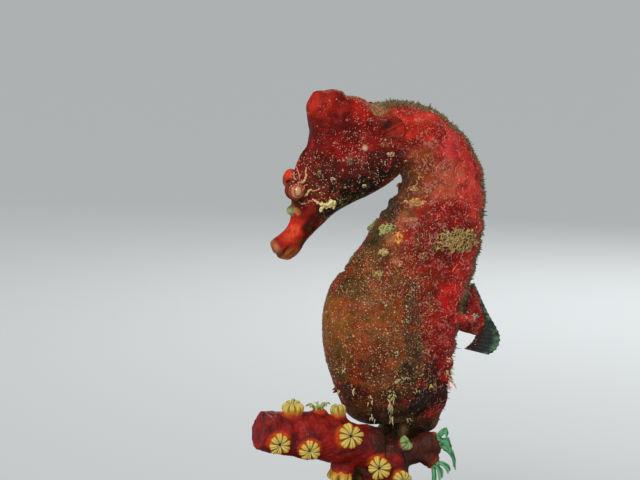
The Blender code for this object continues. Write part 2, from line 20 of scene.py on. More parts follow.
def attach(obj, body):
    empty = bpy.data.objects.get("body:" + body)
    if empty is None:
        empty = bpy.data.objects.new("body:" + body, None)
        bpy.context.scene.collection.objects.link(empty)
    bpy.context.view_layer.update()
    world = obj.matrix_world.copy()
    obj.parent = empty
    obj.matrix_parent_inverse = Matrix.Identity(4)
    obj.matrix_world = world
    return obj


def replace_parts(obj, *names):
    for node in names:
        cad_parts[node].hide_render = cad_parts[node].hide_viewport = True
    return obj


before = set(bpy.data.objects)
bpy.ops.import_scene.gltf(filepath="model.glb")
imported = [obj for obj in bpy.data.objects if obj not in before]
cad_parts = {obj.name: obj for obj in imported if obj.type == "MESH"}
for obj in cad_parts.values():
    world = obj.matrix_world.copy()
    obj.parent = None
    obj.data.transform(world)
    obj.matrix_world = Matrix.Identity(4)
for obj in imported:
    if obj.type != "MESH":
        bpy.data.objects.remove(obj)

MM = 0.001
SIDE = np.array([0.0, 1.0, 0.0])
ASKEW = (0.31, 0.2, 0.93)
SIDES = (-1, 1)
BODY = "root"
Array = np.ndarray
Triple = tuple[float, float, float]
log = logging.getLogger("seahorse")


def paint(red: float, green: float, blue: float) -> Triple:
    """Turns a colour as a screen shows it, each part from 0 to 255, into linear light.

    Args:
        red: The red part.
        green: The green part.
        blue: The blue part.

    Returns:
        The colour, each part from 0 to 1.
    """
    return tuple(
        ((part / 255 + 0.055) / 1.055) ** 2.4 if part > 10 else part / 255 / 12.92
        for part in (red, green, blue)
    )


# ---------------------------------------------------------------- reckoning with points


def unit(vectors: Array) -> Array:
    """Gives vectors the length 1, along their last axis."""
    return vectors / np.linalg.norm(vectors, axis=-1, keepdims=True)


def eased(values: Array, low: float, high: float) -> Array:
    """Rises softly from 0 at low to 1 at high; low may be the larger of the two."""
    share = np.clip((values - low) / (high - low), 0, 1)
    return share * share * (3 - 2 * share)


def bell(values: Array, width: float) -> Array:
    """A soft hump, 1 where a value is 0 and next to nothing at twice the width."""
    return np.exp(-((values / width) ** 2))


def circle(count: int) -> Array:
    """Even angles once round a circle."""
    return np.linspace(0, math.tau, count, endpoint=False)


def filled(values: Array, grid: tuple[int, ...]) -> Array:
    """Values repeated over a grid, as one row."""
    return np.broadcast_to(values, grid).ravel()


def over(under: Array | Triple, share: Array, colour: Array | Triple) -> Array:
    """Lays a colour over others, of which each point takes its own share."""
    under = np.asarray(under)
    return under + share[:, None] * (np.asarray(colour) - under)


def lumps(points: Array, size: float, seed: float = 0.0) -> Array:
    """Smooth noise at the points.

    Args:
        points: Places in millimetres.
        size: How wide one lump is.
        seed: Shifts the pattern.

    Returns:
        A number from -1 to 1 for each point.
    """
    places = points / size + seed * 17.31
    return np.array([noise.noise(place) for place in places.tolist()])


class Curve:
    """A natural cubic spline through rows of numbers, read by a length along it."""

    def __init__(self, rows: Array, places: Array | None = None) -> None:
        """Fits the spline.

        Args:
            rows: The rows, of which the first three numbers are a point if places isn't given.
            places: The length at each row.
        """
        self.rows = np.array(rows, float)
        if places is None:
            steps = np.linalg.norm(np.diff(self.rows[:, :3], axis=0), axis=1)
            places = np.concatenate([[0.0], np.cumsum(steps)])
        self.at = np.array(places, float)
        step = np.diff(self.at)
        count = len(self.at)
        left, right = np.eye(count), np.zeros_like(self.rows)
        for i in range(1, count - 1):
            left[i, i - 1 : i + 2] = step[i - 1], 2 * (step[i - 1] + step[i]), step[i]
            rise = (self.rows[i + 1] - self.rows[i]) / step[i]
            right[i] = 6 * (rise - (self.rows[i] - self.rows[i - 1]) / step[i - 1])
        self.bend = np.linalg.solve(left, right)

    def __call__(self, length: float | Array) -> Array:
        """Reads the row at one length or at many.

        Args:
            length: Where along the row, one length or an array of them.

        Returns:
            What the curve gives there.
        """
        length = np.asarray(length, float)
        i = np.clip(np.searchsorted(self.at, length) - 1, 0, len(self.at) - 2)
        width = self.at[i + 1] - self.at[i]
        q = ((length - self.at[i]) / width)[..., None]
        p = 1 - q
        bend = (p**3 - p) * self.bend[i] + (q**3 - q) * self.bend[i + 1]
        return p * self.rows[i] + q * self.rows[i + 1] + bend * (width**2)[..., None] / 6

    def tangent(self, length: float | Array) -> Array:
        """The direction of the curve at a length along it."""
        length = np.asarray(length, float)
        return unit(self(length + 0.05)[..., :3] - self(length - 0.05)[..., :3])

    def spread(self, count: int) -> Array:
        """Even lengths from the curve's start to its end."""
        return np.linspace(0.0, self.at[-1], count)


def frames_along(path: Array) -> tuple[Array, Array]:
    """Two directions square to a path at each of its points, which don't twist along it.

    Args:
        path: The points of the path.

    Returns:
        The two directions at each point.
    """
    ahead = unit(np.gradient(path, axis=0))
    across = np.cross(ahead[0], ASKEW)
    found = []
    for direction in ahead:
        across = across - direction * np.dot(across, direction)
        across = across / np.linalg.norm(across)
        found.append(across)
    across = np.array(found)
    return across, np.cross(ahead, across)


# ---------------------------------------------------------------- shapes


def linked(name: str, data: bpy.types.ID) -> bpy.types.Object:
    """A new object of the scene.

    Args:
        name: What it is called.
        data: What it shows.

    Returns:
        The object.
    """
    made = bpy.data.objects.new(name, data)
    bpy.context.scene.collection.objects.link(made)
    return made


def corner_points(mesh: bpy.types.Mesh) -> Array:
    """The number of the point at each corner of a mesh's faces.

    Args:
        mesh: The mesh.

    Returns:
        A number for each corner, face after face.
    """
    corners = np.empty(len(mesh.loops), np.int64)
    mesh.loops.foreach_get("vertex_index", corners)
    return corners


@dataclass
class Shape:
    """A mesh in the making: its points in millimetres, arrays of faces by their number of corners,
    and by name the numbers or colours that it keeps for each point."""

    points: Array
    faces: list[Array]
    marks: dict[str, Array] = field(default_factory=dict)

    def normals(self) -> Array:
        """The direction out of the surface at each point.

        Returns:
            A unit vector for each point.
        """
        total = np.zeros_like(self.points)
        for faces in self.faces:
            first = self.points[faces[:, faces.shape[1] // 2]] - self.points[faces[:, 0]]
            other = self.points[faces[:, -1]] - self.points[faces[:, 1]]
            facing = np.cross(first, other)
            for column in faces.T:
                for axis in range(3):
                    total[:, axis] += np.bincount(column, facing[:, axis], len(self.points))
        return total / np.maximum(np.linalg.norm(total, axis=1, keepdims=True), 1e-12)

    def smooth(self, weight: Array | float, rounds: int) -> None:
        """Moves each point towards the mean of its neighbours.

        Args:
            weight: How far it moves, from 0 to 1, alike for all points or for each.
            rounds: How many times.
        """
        size = len(self.points)
        pairs = np.concatenate(
            [
                np.stack([faces[:, k], faces[:, (k + 1) % faces.shape[1]]])
                for faces in self.faces
                for k in range(faces.shape[1])
            ],
            axis=1,
        )
        near = np.concatenate([pairs, pairs[::-1]], axis=1)
        count = np.maximum(np.bincount(near[0], minlength=size), 1)
        weight = np.broadcast_to(weight, size)
        for _ in range(rounds):
            for axis in range(3):
                mean = np.bincount(near[0], self.points[near[1], axis], size) / count
                self.points[:, axis] += weight * (mean - self.points[:, axis])

    def corners(self) -> list[list[int]]:
        """The point numbers of each face."""
        return [face for faces in self.faces for face in faces.tolist()]

    def tree(self) -> BVHTree:
        """A search tree of the surface, in millimetres."""
        return BVHTree.FromPolygons(self.points.tolist(), self.corners())

    def mesh(self, name: str, scale: float = 1.0) -> bpy.types.Mesh:
        """A mesh of the shape, with its points scaled.

        Args:
            name: What it is called.
            scale: What each size is multiplied by.

        Returns:
            The mesh.
        """
        made = bpy.data.meshes.new(name)
        made.from_pydata((self.points * scale).tolist(), [], self.corners())
        return made

    def moved(self, offset: Array) -> "Shape":
        """The same shape with its points moved."""
        return Shape(self.points + offset, self.faces, self.marks)

    def tinted(self, colour: Triple) -> "Shape":
        """The same shape in one colour."""
        tint = np.tile(np.array(colour), (len(self.points), 1))
        return Shape(self.points, self.faces, {"tint": tint})

    def to_object(self, name: str, slot: str, dress: bpy.types.Material) -> bpy.types.Object:
        """Makes the piece, which rides on the frame's one body.

        Args:
            name: The piece's name.
            slot: Not used.
            dress: Its material.

        Returns:
            The new object.
        """
        mesh = self.mesh(name, MM)
        for mark, values in self.marks.items():
            kind = "FLOAT" if values.ndim == 1 else "FLOAT_COLOR"
            layer = mesh.attributes.new(mark, kind, "POINT")
            if values.ndim == 1:
                layer.data.foreach_set("value", values.astype(np.float32))
            else:
                full = np.concatenate([values, np.ones((len(values), 1))], axis=1)
                layer.data.foreach_set("color", full.astype(np.float32).ravel())
        mesh.shade_smooth()
        mesh.materials.append(dress)
        mesh.update()
        piece = linked(name, mesh)
        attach(piece, BODY)
        log.info("%s: %d points, %d faces", name, len(mesh.vertices), len(mesh.polygons))
        return piece


def joined(shapes: list[Shape]) -> Shape:
    """Puts shapes side by side in one, with the marks that the first one has.

    Args:
        shapes: The shapes, in the order that their points take.

    Returns:
        The one shape.
    """
    points, faces = [], []
    start = 0
    for shape in shapes:
        points.append(shape.points)
        faces += [found + start for found in shape.faces]
        start += len(shape.points)
    by_corners: dict[int, list[Array]] = {}
    for found in faces:
        by_corners.setdefault(found.shape[1], []).append(found)
    marks = {
        name: np.concatenate([shape.marks[name] for shape in shapes]) for name in shapes[0].marks
    }
    gathered = [np.concatenate(found) for found in by_corners.values()]
    return Shape(np.concatenate(points), gathered, marks)


def quads_round(grid: Array) -> Array:
    """The quads between the rows of a grid of point numbers, which close round."""
    after = np.roll(grid, -1, axis=1)
    return np.stack([grid[:-1], after[:-1], after[1:], grid[1:]], axis=-1).reshape(-1, 4)


def loft(sections: Array) -> Shape:
    """A surface through closed outlines with the same number of points, closed at both ends.

    Args:
        sections: Outlines by points by x, y, z. They turn so that the surface faces out.

    Returns:
        The shape, with no marks.
    """
    grid = np.arange(sections.shape[0] * sections.shape[1]).reshape(sections.shape[:2])
    ends = np.stack([grid[0, ::-1], grid[-1]])
    return Shape(sections.reshape(-1, 3), [quads_round(grid), ends])


def tube(path: Array, radii: Array, sides: int = 8) -> Shape:
    """A round tube along a path, closed at both ends.

    Args:
        path: The points along its middle.
        radii: Its radius at each point.
        sides: How many sides it has.

    Returns:
        The tube.
    """
    across, other = frames_along(path)
    angles = circle(sides)
    round_it = (
        across[:, None] * np.cos(angles)[:, None] + other[:, None] * np.sin(angles)[:, None]
    )
    return loft(path[:, None] + round_it * np.asarray(radii)[:, None, None])


def ball(middle: Array, radius: float, across: int = 24, up: int = 14) -> Shape:
    """A ball with small flats at its poles.

    Args:
        middle: Its middle.
        radius: Its radius.
        across: How many sides it has.
        up: How many rings of points lie between its flats.

    Returns:
        The ball.
    """
    tilt = np.linspace(0.03, math.pi - 0.03, up)
    angles = circle(across)
    ring = np.stack([np.cos(angles), np.sin(angles), np.zeros(across)], axis=1)
    rings = np.sin(tilt)[:, None, None] * ring - np.cos(tilt)[:, None, None] * (0, 0, 1)
    return loft(np.array(middle) + radius * rings)


def spike(foot: Array, tip: Array, radius: float, point: float, sides: int = 14) -> Shape:
    """A blunt cone with a rounded tip; point is the tip's radius as a share of the foot's.

    Args:
        foot: The middle of its foot.
        tip: The point at its tip.
        radius: Its radius at the foot.
        point: The tip's radius as a share of the foot's.
        sides: How many sides it has.

    Returns:
        The spike.
    """
    foot, tip = np.array(foot, float), np.array(tip, float)
    length, end = np.linalg.norm(tip - foot), radius * point
    cone, dome = np.linspace(0, 1, 7), np.radians(np.linspace(0, 88, 7))[1:]
    heights = np.concatenate([cone * (length - end), length - end + end * np.sin(dome)])
    radii = np.concatenate([radius * (1 - (1 - point) * cone), end * np.cos(dome)])
    return tube(foot + unit(tip - foot) * heights[:, None], radii, sides)


def fused(shapes: list[Shape], voxel: float) -> Shape:
    """One closed surface of even quads round all of the shapes.

    Args:
        shapes: Closed shapes that may pass through each other.
        voxel: How wide its faces are, in millimetres.

    Returns:
        The one surface.
    """
    mesh = joined([Shape(shape.points, shape.faces) for shape in shapes]).mesh("fused")
    piece = linked("fused", mesh)
    even = piece.modifiers.new("even", "REMESH")
    even.mode = "VOXEL"
    even.voxel_size = voxel
    graph = bpy.context.evaluated_depsgraph_get()
    made = bpy.data.meshes.new_from_object(piece.evaluated_get(graph))
    points = np.empty(len(made.vertices) * 3)
    made.vertices.foreach_get("co", points)
    quads = corner_points(made).reshape(-1, 4)
    bpy.data.objects.remove(piece)
    bpy.data.meshes.remove(mesh)
    bpy.data.meshes.remove(made)
    return Shape(points.reshape(-1, 3), [quads])


# ---------------------------------------------------------------- materials


class Socket:
    """A value or colour in a material, which plain Python expressions can reckon with."""

    def __init__(self, dress: "Dress", pin: bpy.types.NodeSocket) -> None:
        """Wraps the output pin of a node of the dress."""
        self.dress = dress
        self.pin = pin

    def reckon(self, operation: str, *values: "Socket | float") -> "Socket":
        """Adds a Math node and returns its result."""
        return self.dress.node("Math", {"operation": operation}, dict(enumerate(values)))

    def __add__(self, other: "Socket | float") -> "Socket":
        """This value plus another."""
        return self.reckon("ADD", self, other)

    __radd__ = __add__

    def __sub__(self, other: "Socket | float") -> "Socket":
        """This value less another."""
        return self.reckon("SUBTRACT", self, other)

    def __rsub__(self, other: float) -> "Socket":
        """A number less this value."""
        return self.reckon("SUBTRACT", other, self)

    def __mul__(self, other: "Socket | float") -> "Socket":
        """This value times another."""
        return self.reckon("MULTIPLY", self, other)

    __rmul__ = __mul__

    def __abs__(self) -> "Socket":
        """The size of this value."""
        return self.reckon("ABSOLUTE", self)

    def eased(self, low: float, high: float) -> "Socket":
        """Rises softly from 0 at low to 1 at high.

        Args:
            low: The value that gives 0.
            high: The value that gives 1.

        Returns:
            The eased value.
        """
        settings = {"interpolation_type": "SMOOTHSTEP"}
        return self.dress.node(
            "MapRange", settings, {"Value": self, "From Min": low, "From Max": high}
        )


class Dress:
    """A material in the making, with one way to add any node and a few named patterns."""

    def __init__(self, name: str) -> None:
        """Starts the material with its one Principled shader.

        Args:
            name: What the material is called.
        """
        self.material = bpy.data.materials.new(name)
        self.material.use_nodes = True
        self.tree = self.material.node_tree
        self.shader = self.tree.nodes["Principled BSDF"]

    def node(
        self,
        kind: str,
        settings: dict[str, object],
        inputs: dict[str | int, object],
        output: str | int = 0,
    ) -> Socket:
        """Adds a node.

        Args:
            kind: The node's type, without the prefix that shader nodes share.
            settings: What it is set to; "stops" are a ramp's places and colours.
            inputs: A link or a value for each input, by name or number.
            output: The output to return, by name or number.

        Returns:
            The output.
        """
        made = self.tree.nodes.new(f"ShaderNode{kind}")
        for name, value in settings.items():
            if name == "stops":
                self.set_stops(made.color_ramp.elements, value)
            else:
                setattr(made, name, value)
        for name, value in inputs.items():
            self.feed(made.inputs[name], value)
        return Socket(self, made.outputs[output])

    def feed(self, pin: bpy.types.NodeSocket, value: object) -> None:
        """Sets an input of a node.

        Args:
            pin: The input.
            value: A link, a colour or a number.
        """
        if isinstance(value, Socket):
            self.tree.links.new(value.pin, pin)
        elif isinstance(value, tuple) and pin.type == "RGBA":
            pin.default_value = (*value, 1.0)
        else:
            pin.default_value = value

    @staticmethod
    def set_stops(elements: bpy.types.ColorRampElements, stops: list) -> None:
        """Sets a ramp's stops, each a place from 0 to 1 and a colour.

        Args:
            elements: The ramp's stops.
            stops: A place from 0 to 1 and a colour for each.
        """
        while len(elements) < len(stops):
            elements.new(0.5)
        for element, (place, colour) in zip(elements, stops):
            element.position = place
            element.color = (*colour, 1.0)

    def place(self, stretch: Triple = (1, 1, 1)) -> Socket:
        """The point on the piece, in millimetres, stretched along each axis.

        Args:
            stretch: What each axis is multiplied by.

        Returns:
            The place.
        """
        here = self.node("TexCoord", {}, {}, "Object")
        scale = tuple(part / MM for part in stretch)
        return self.node("VectorMath", {"operation": "MULTIPLY"}, {0: here, 1: scale})

    def mark(self, name: str, colour: bool = False) -> Socket:
        """A number, or a colour, that the mesh keeps for each point."""
        output = "Color" if colour else "Fac"
        return self.node("Attribute", {"attribute_name": name}, {}, output)

    def cloud(self, at: Socket, size: float, detail: float = 3.0, bend: float = 0.0) -> Socket:
        """Soft noise from 0 to 1 with lumps of a size in millimetres."""
        inputs = {"Vector": at, "Scale": 1 / size, "Detail": detail, "Distortion": bend}
        return self.node("TexNoise", {}, inputs)

    def cells(self, at: Socket, size: float, output: str = "Distance") -> Socket:
        """A Voronoi pattern with cells of a size in millimetres."""
        return self.node("TexVoronoi", {}, {"Vector": at, "Scale": 1 / size}, output)

    def warped(self, at: Socket, size: float, amount: float) -> Socket:
        """The place, pushed about by noise, by up to an amount in millimetres.

        Args:
            at: The place.
            size: How wide the noise's lumps are, in millimetres.
            amount: How far they push it at most.

        Returns:
            The place, pushed about.
        """
        inputs = {"Vector": at, "Scale": 1 / size, "Detail": 2.0}
        push = self.node("TexNoise", {}, inputs, "Color")
        push = self.node("VectorMath", {"operation": "SUBTRACT"}, {0: push, 1: (0.5, 0.5, 0.5)})
        push = self.node("VectorMath", {"operation": "SCALE"}, {0: push, "Scale": 2 * amount})
        return self.node("VectorMath", {"operation": "ADD"}, {0: at, 1: push})

    def mix(
        self, share: Socket | float, under: Socket | Triple, over: Socket | Triple, way: str = "MIX"
    ) -> Socket:
        """Lays one colour over another; share is how much of it shows, and way how."""
        settings = {"data_type": "RGBA", "blend_type": way}
        return self.node("Mix", settings, {0: share, 6: under, 7: over}, 2)

    def grey(self, value: Socket) -> Socket:
        """The grey of a value."""
        return self.node("CombineColor", {}, {0: value, 1: value, 2: value})

    def ramp(self, value: Socket, stops: list[tuple[float, Triple]]) -> Socket:
        """A colour for each value from 0 to 1."""
        return self.node("ValToRGB", {"stops": stops}, {"Fac": value})

    def bump(self, height: Socket) -> Socket:
        """A normal for a height in millimetres."""
        return self.node("Bump", {}, {"Height": height, "Strength": 1.0, "Distance": MM})

    def done(self, **sockets: Socket | float | Triple) -> bpy.types.Material:
        """Feeds the shader; an underscore stands for a space in a socket's name.

        Args:
            sockets: What each socket of the shader is set to, or fed by.

        Returns:
            The finished material.
        """
        for name, value in sockets.items():
            self.feed(self.shader.inputs[name.replace("_", " ")], value)
        return self.material


@dataclass(frozen=True)
class SkinFinish:
    """Damp, fleshy skin: painted patches, mottled, strewn with fine winding lines and small specks.

    Attributes:
        flesh: How much light passes through it.
        patches, mottle, winding, gaps, crowd, grain, pores: How wide each pattern is, in millimetres.
        specks: How wide a speck's cell is, and the share of cells left empty, for each kind.
    """

    line: Triple = paint(232, 150, 138)
    speck: Triple = paint(236, 208, 172)
    roughness: float = 0.52
    flesh: float = 0.07
    patches: float = 1.9
    mottle: float = 0.42
    winding: float = 0.95
    gaps: float = 1.7
    crowd: float = 2.4
    grain: float = 0.2
    pores: float = 0.42
    specks: tuple = ((0.4, 0.55), (0.62, 0.72))

    def material(self) -> bpy.types.Material:
        """Builds the material.

        Returns:
            The material.
        """
        dress = Dress("damp_skin")
        here = dress.place()
        tint = dress.mark("tint", colour=True)
        broad, fine = dress.cloud(here, self.patches, 4.0), dress.cloud(here, self.mottle, 3.0)
        shade = broad.eased(0.3, 0.7) * 0.6 + fine * 0.9 + 0.27
        colour = dress.mix(1.0, tint, dress.grey(shade), "MULTIPLY")
        bent = dress.warped(here, 0.5, 0.16)
        winding = abs(dress.cloud(bent, self.winding, 1.0) - 0.5).eased(0.06, 0.025)
        gaps = dress.cloud(here, self.gaps, 3.0).eased(0.47, 0.58)
        lines = winding * gaps * dress.mark("lace")
        colour = dress.mix(lines * 0.3, colour, self.line)
        small, large = (self.strewn(dress, bent, *kind) for kind in self.specks)
        specks = small + large
        crowded = dress.cloud(here, self.crowd, 3.0).eased(0.42, 0.6) * 0.8 + 0.2
        specks = specks * crowded * dress.mark("dots")
        colour = dress.mix(specks * 0.5, colour, self.speck)
        grain = dress.cloud(here, self.grain, 2.0)
        pores = dress.cells(here, self.pores).eased(0.0, 0.4)
        height = grain * 0.06 + pores * 0.05 + lines * 0.07 + specks * 0.09 + fine * 0.16
        return dress.done(
            Base_Color=colour,
            Roughness=fine * 0.2 + (self.roughness - 0.08),
            Normal=dress.bump(height),
            Subsurface_Weight=self.flesh,
            Subsurface_Radius=(1.0, 0.2, 0.1),
            Subsurface_Scale=0.0006,
            Specular_IOR_Level=0.1,
        )

    @staticmethod
    def strewn(dress: Dress, here: Socket, size: float, share: float) -> Socket:
        """Round specks, one in each cell of a size; share is how many cells are left empty."""
        pick = dress.node("SeparateColor", {}, {0: dress.cells(here, size, output="Color")}, "Red")
        return dress.cells(here, size).eased(0.34, 0.2) * pick.eased(share, share + 0.04)


@dataclass(frozen=True)
class EyeFinish:
    """A wet, glassy eye: a pale oval middle in rings of scarlet and cream, streaked outwards."""

    heart: Triple = paint(170, 134, 90)
    middle: Triple = paint(190, 154, 110)
    iris: Triple = paint(168, 58, 28)
    ember: Triple = paint(180, 74, 42)
    rim: Triple = paint(202, 136, 106)
    dun: Triple = paint(186, 118, 86)
    dark: Triple = paint(84, 26, 16)
    edge: Triple = paint(200, 56, 24)

    def material(self) -> bpy.types.Material:
        """Builds the material, which reads how far out on the eye each point lies.

        Returns:
            The material.
        """
        dress = Dress("wet_eye")
        here = dress.place()
        out = dress.mark("out") + (dress.cloud(here, 0.35, 2.0) - 0.5) * 0.16
        stops = [
            (0.0, self.heart),
            (0.12, self.middle),
            (0.34, self.middle),
            (0.43, self.iris),
            (0.53, self.ember),
            (0.6, self.rim),
            (0.72, self.dun),
            (0.8, self.dark),
            (0.9, self.iris),
            (1.0, self.edge),
        ]
        colour = dress.ramp(out, stops)
        streak = dress.node(
            "TexNoise", {"noise_dimensions": "1D"}, {"W": dress.mark("round"), "Scale": 15.0, "Detail": 1.0}
        )
        outer = dress.mark("out").eased(0.22, 0.4)
        colour = dress.mix(streak.eased(0.56, 0.68) * outer * 0.4, colour, self.dark)
        colour = dress.mix(streak.eased(0.42, 0.34) * outer * 0.3, colour, self.rim)
        return dress.done(
            Base_Color=colour,
            Roughness=0.28,
            Coat_Weight=0.45,
            Coat_Roughness=0.08,
            Specular_IOR_Level=0.3,
            Subsurface_Weight=0.08,
            Subsurface_Scale=0.0004,
        )


@dataclass(frozen=True)
class FinFinish:
    """Thin, half-clear webbing, clouded with a second colour, between rays that share the colour of the
    fleshy root, with a pale green free edge: its own translucent green, with painted highlight along it;
    clear is how much shows through the webbing."""

    name: str
    web: Triple
    mottle: Triple
    ray: Triple
    clear: float = 0.2
    # The free edge's pale green: partly its own translucent green, partly painted highlight.
    rim: Triple = paint(102, 146, 106)
    speck: Triple = paint(228, 176, 150)

    def material(self) -> bpy.types.Material:
        """Builds the material, which reads the mesh's marks for rays and for the root.

        Returns:
            The material.
        """
        dress = Dress(self.name)
        here = dress.place()
        ray, root = dress.mark("ray"), dress.mark("fleshy")
        mottled = dress.cloud(here, 0.7, 4.0)
        colour = dress.mix(mottled.eased(0.3, 0.7) * 0.8, self.web, self.mottle)
        colour = dress.mix(ray * 0.7, colour, self.ray)
        colour = dress.mix(root, colour, self.ray)
        # The free edge: its own translucent green, with painted highlight broken up along it.
        glassy = dress.mark("rim") * dress.cloud(here, 1.4, 2.0).eased(0.4, 0.54)
        colour = dress.mix(glassy * 0.7, colour, self.rim)
        speck = dress.cells(dress.warped(here, 0.5, 0.2), 0.5).eased(0.3, 0.14)
        picked = dress.cloud(here, 1.1, 2.0).eased(0.46, 0.58)
        colour = dress.mix(speck * picked * (root * 0.6 + 0.15), colour, self.speck)
        solid = 1.0 - (1.0 - ray * 0.7) * (1.0 - root) * self.clear
        return dress.done(
            Base_Color=colour,
            Alpha=solid,
            Roughness=mottled * 0.2 + 0.36,
            Normal=dress.bump(dress.cloud(here, 0.25, 2.0) * 0.07 + speck * picked * 0.05),
            Specular_IOR_Level=0.25,
        )


@dataclass(frozen=True)
class TintedFinish:
    """Small soft bodies, each in the colour that its mesh keeps for it."""

    name: str
    roughness: float = 0.5
    flesh: float = 0.15

    def material(self) -> bpy.types.Material:
        """Builds the material.

        Returns:
            The material.
        """
        dress = Dress(self.name)
        here = dress.place()
        shade = dress.cloud(here, 0.3, 2.0) * 0.6 + 0.7
        grey = dress.grey(shade)
        colour = dress.mix(1.0, dress.mark("tint", colour=True), grey, "MULTIPLY")
        return dress.done(
            Base_Color=colour,
            Roughness=self.roughness,
            Normal=dress.bump(dress.cloud(here, 0.18, 2.0) * 0.06),
            Subsurface_Weight=self.flesh,
            Subsurface_Scale=0.0005,
            Specular_IOR_Level=0.12,
        )


@dataclass(frozen=True)
class RindFinish:
    """The coral's fine-grained rind: deep red, clouded, with faint pale spicules in it."""

    deep: Triple = paint(84, 8, 8)
    bright: Triple = paint(150, 20, 14)
    rust: Triple = paint(128, 44, 22)
    lip: Triple = paint(190, 66, 16)
    # The dark brown of the painted shade that the seahorse's body casts on the rind under the tail's root.
    dusk: Triple = paint(40, 24, 14)
    spicule: Triple = paint(190, 110, 96)

    def material(self) -> bpy.types.Material:
        """Builds the material.

        Returns:
            The material.
        """
        dress = Dress("coral_rind")
        here = dress.place()
        broad = dress.cloud(here, 3.2, 3.0)
        colour = dress.mix(broad.eased(0.3, 0.7), self.deep, self.bright)
        rusty = dress.cloud(here, 1.4, 3.0).eased(0.52, 0.7)
        colour = dress.mix(rusty * 0.6, colour, self.rust)
        colour = dress.mix(dress.mark("lip"), colour, self.lip)
        # Painted shade: dark brown where the seahorse's body shades the rind under the tail's root.
        colour = dress.mix(dress.mark("dusk") * 0.85, colour, self.dusk)
        needles = dress.cells(dress.place((1.0, 1.0, 0.3)), 0.55).eased(0.16, 0.08)
        gaps = dress.cloud(here, 4.0, 2.0).eased(0.5, 0.62)
        colour = dress.mix(needles * gaps * 0.7, colour, self.spicule)
        grain = dress.cells(here, 0.34).eased(0.0, 0.45)
        height = grain * 0.1 + dress.cloud(here, 0.8, 3.0) * 0.3
        return dress.done(
            Base_Color=colour,
            Roughness=dress.cloud(here, 0.6, 2.0) * 0.2 + 0.44,
            Normal=dress.bump(height),
            Subsurface_Weight=0.05,
            Subsurface_Scale=0.0005,
            Specular_IOR_Level=0.22,
        )


@dataclass(frozen=True)
class PolypFinish:
    """A polyp's crown: orange at its foot, pale yellow lobes above, brown in the folds between."""

    foot: Triple = paint(168, 44, 8)
    middle: Triple = paint(206, 128, 26)
    top: Triple = paint(216, 182, 76)
    tip: Triple = paint(206, 190, 108)
    # The green of the polyps in the body's shade: painted light, the greenish cast of the light there, over
    # some of the crowns' own yellow-green.
    green: Triple = paint(84, 160, 112)
    amber: Triple = paint(196, 124, 30)
    fold: Triple = paint(104, 58, 10)
    hollow: Triple = paint(40, 18, 6)

    def material(self) -> bpy.types.Material:
        """Builds the material, which reads the height on the crown and the furrows in it.

        Returns:
            The material.
        """
        dress = Dress("polyp_crown")
        here = dress.place()
        cloudy = dress.cloud(here, 0.7, 3.0)
        rise = dress.mark("rise") + (cloudy - 0.5) * 0.22
        stops = [(0.0, self.foot), (0.22, self.middle), (0.42, self.top), (0.8, self.tip)]
        colour = dress.ramp(rise, stops)
        colour = dress.mix(dress.mark("green"), colour, self.green)
        colour = dress.mix(cloudy.eased(0.5, 0.75) * 0.35, colour, self.amber)
        colour = dress.mix(dress.mark("furrow") * 0.8, colour, self.fold)
        colour = dress.mix(dress.mark("hollow"), colour, self.hollow)
        height = dress.cloud(here, 0.2, 2.0) * 0.07 + dress.cells(here, 0.3).eased(0.0, 0.4) * 0.05
        return dress.done(
            Base_Color=colour,
            Roughness=cloudy * 0.2 + 0.44,
            Normal=dress.bump(height),
            Subsurface_Weight=0.12,
            Subsurface_Scale=0.0006,
            Specular_IOR_Level=0.2,
        )


@dataclass(frozen=True)
class WoodFinish:
    """Dark satin wood with a straight grain along its length."""

    dark: Triple = paint(62, 38, 26)
    light: Triple = paint(104, 68, 44)

    def material(self) -> bpy.types.Material:
        """Builds the material.

        Returns:
            The material.
        """
        dress = Dress("dark_satin_wood")
        here = dress.warped(dress.place((0.06, 1.0, 1.0)), 6.0, 0.8)
        grain = dress.cloud(here, 0.9, 5.0, 0.6)
        bands = dress.cloud(here, 4.5, 2.0).eased(0.3, 0.7)
        colour = dress.mix(grain.eased(0.35, 0.7) * 0.6 + bands * 0.4, self.dark, self.light)
        pores = dress.cells(dress.place((0.12, 1.0, 1.0)), 0.4).eased(0.0, 0.3)
        return dress.done(
            Base_Color=colour,
            Roughness=grain * 0.18 + 0.3,
            Normal=dress.bump(grain * 0.03 + pores * 0.02),
            Coat_Weight=0.25,
            Coat_Roughness=0.25,
        )


@dataclass(frozen=True)
class SteelFinish:
    """Steel brushed round the rod."""

    colour: Triple = paint(196, 197, 200)
    line: Triple = paint(150, 151, 156)

    def material(self) -> bpy.types.Material:
        """Builds the material.

        Returns:
            The material.
        """
        dress = Dress("brushed_steel")
        lines = dress.cloud(dress.place((0.4, 0.4, 14.0)), 1.0, 3.0)
        colour = dress.mix(lines * 0.4, self.colour, self.line)
        return dress.done(
            Base_Color=colour,
            Metallic=1.0,
            Roughness=lines * 0.2 + 0.2,
            Normal=dress.bump(lines * 0.01),
        )


# ---------------------------------------------------------------- the animal's own frames


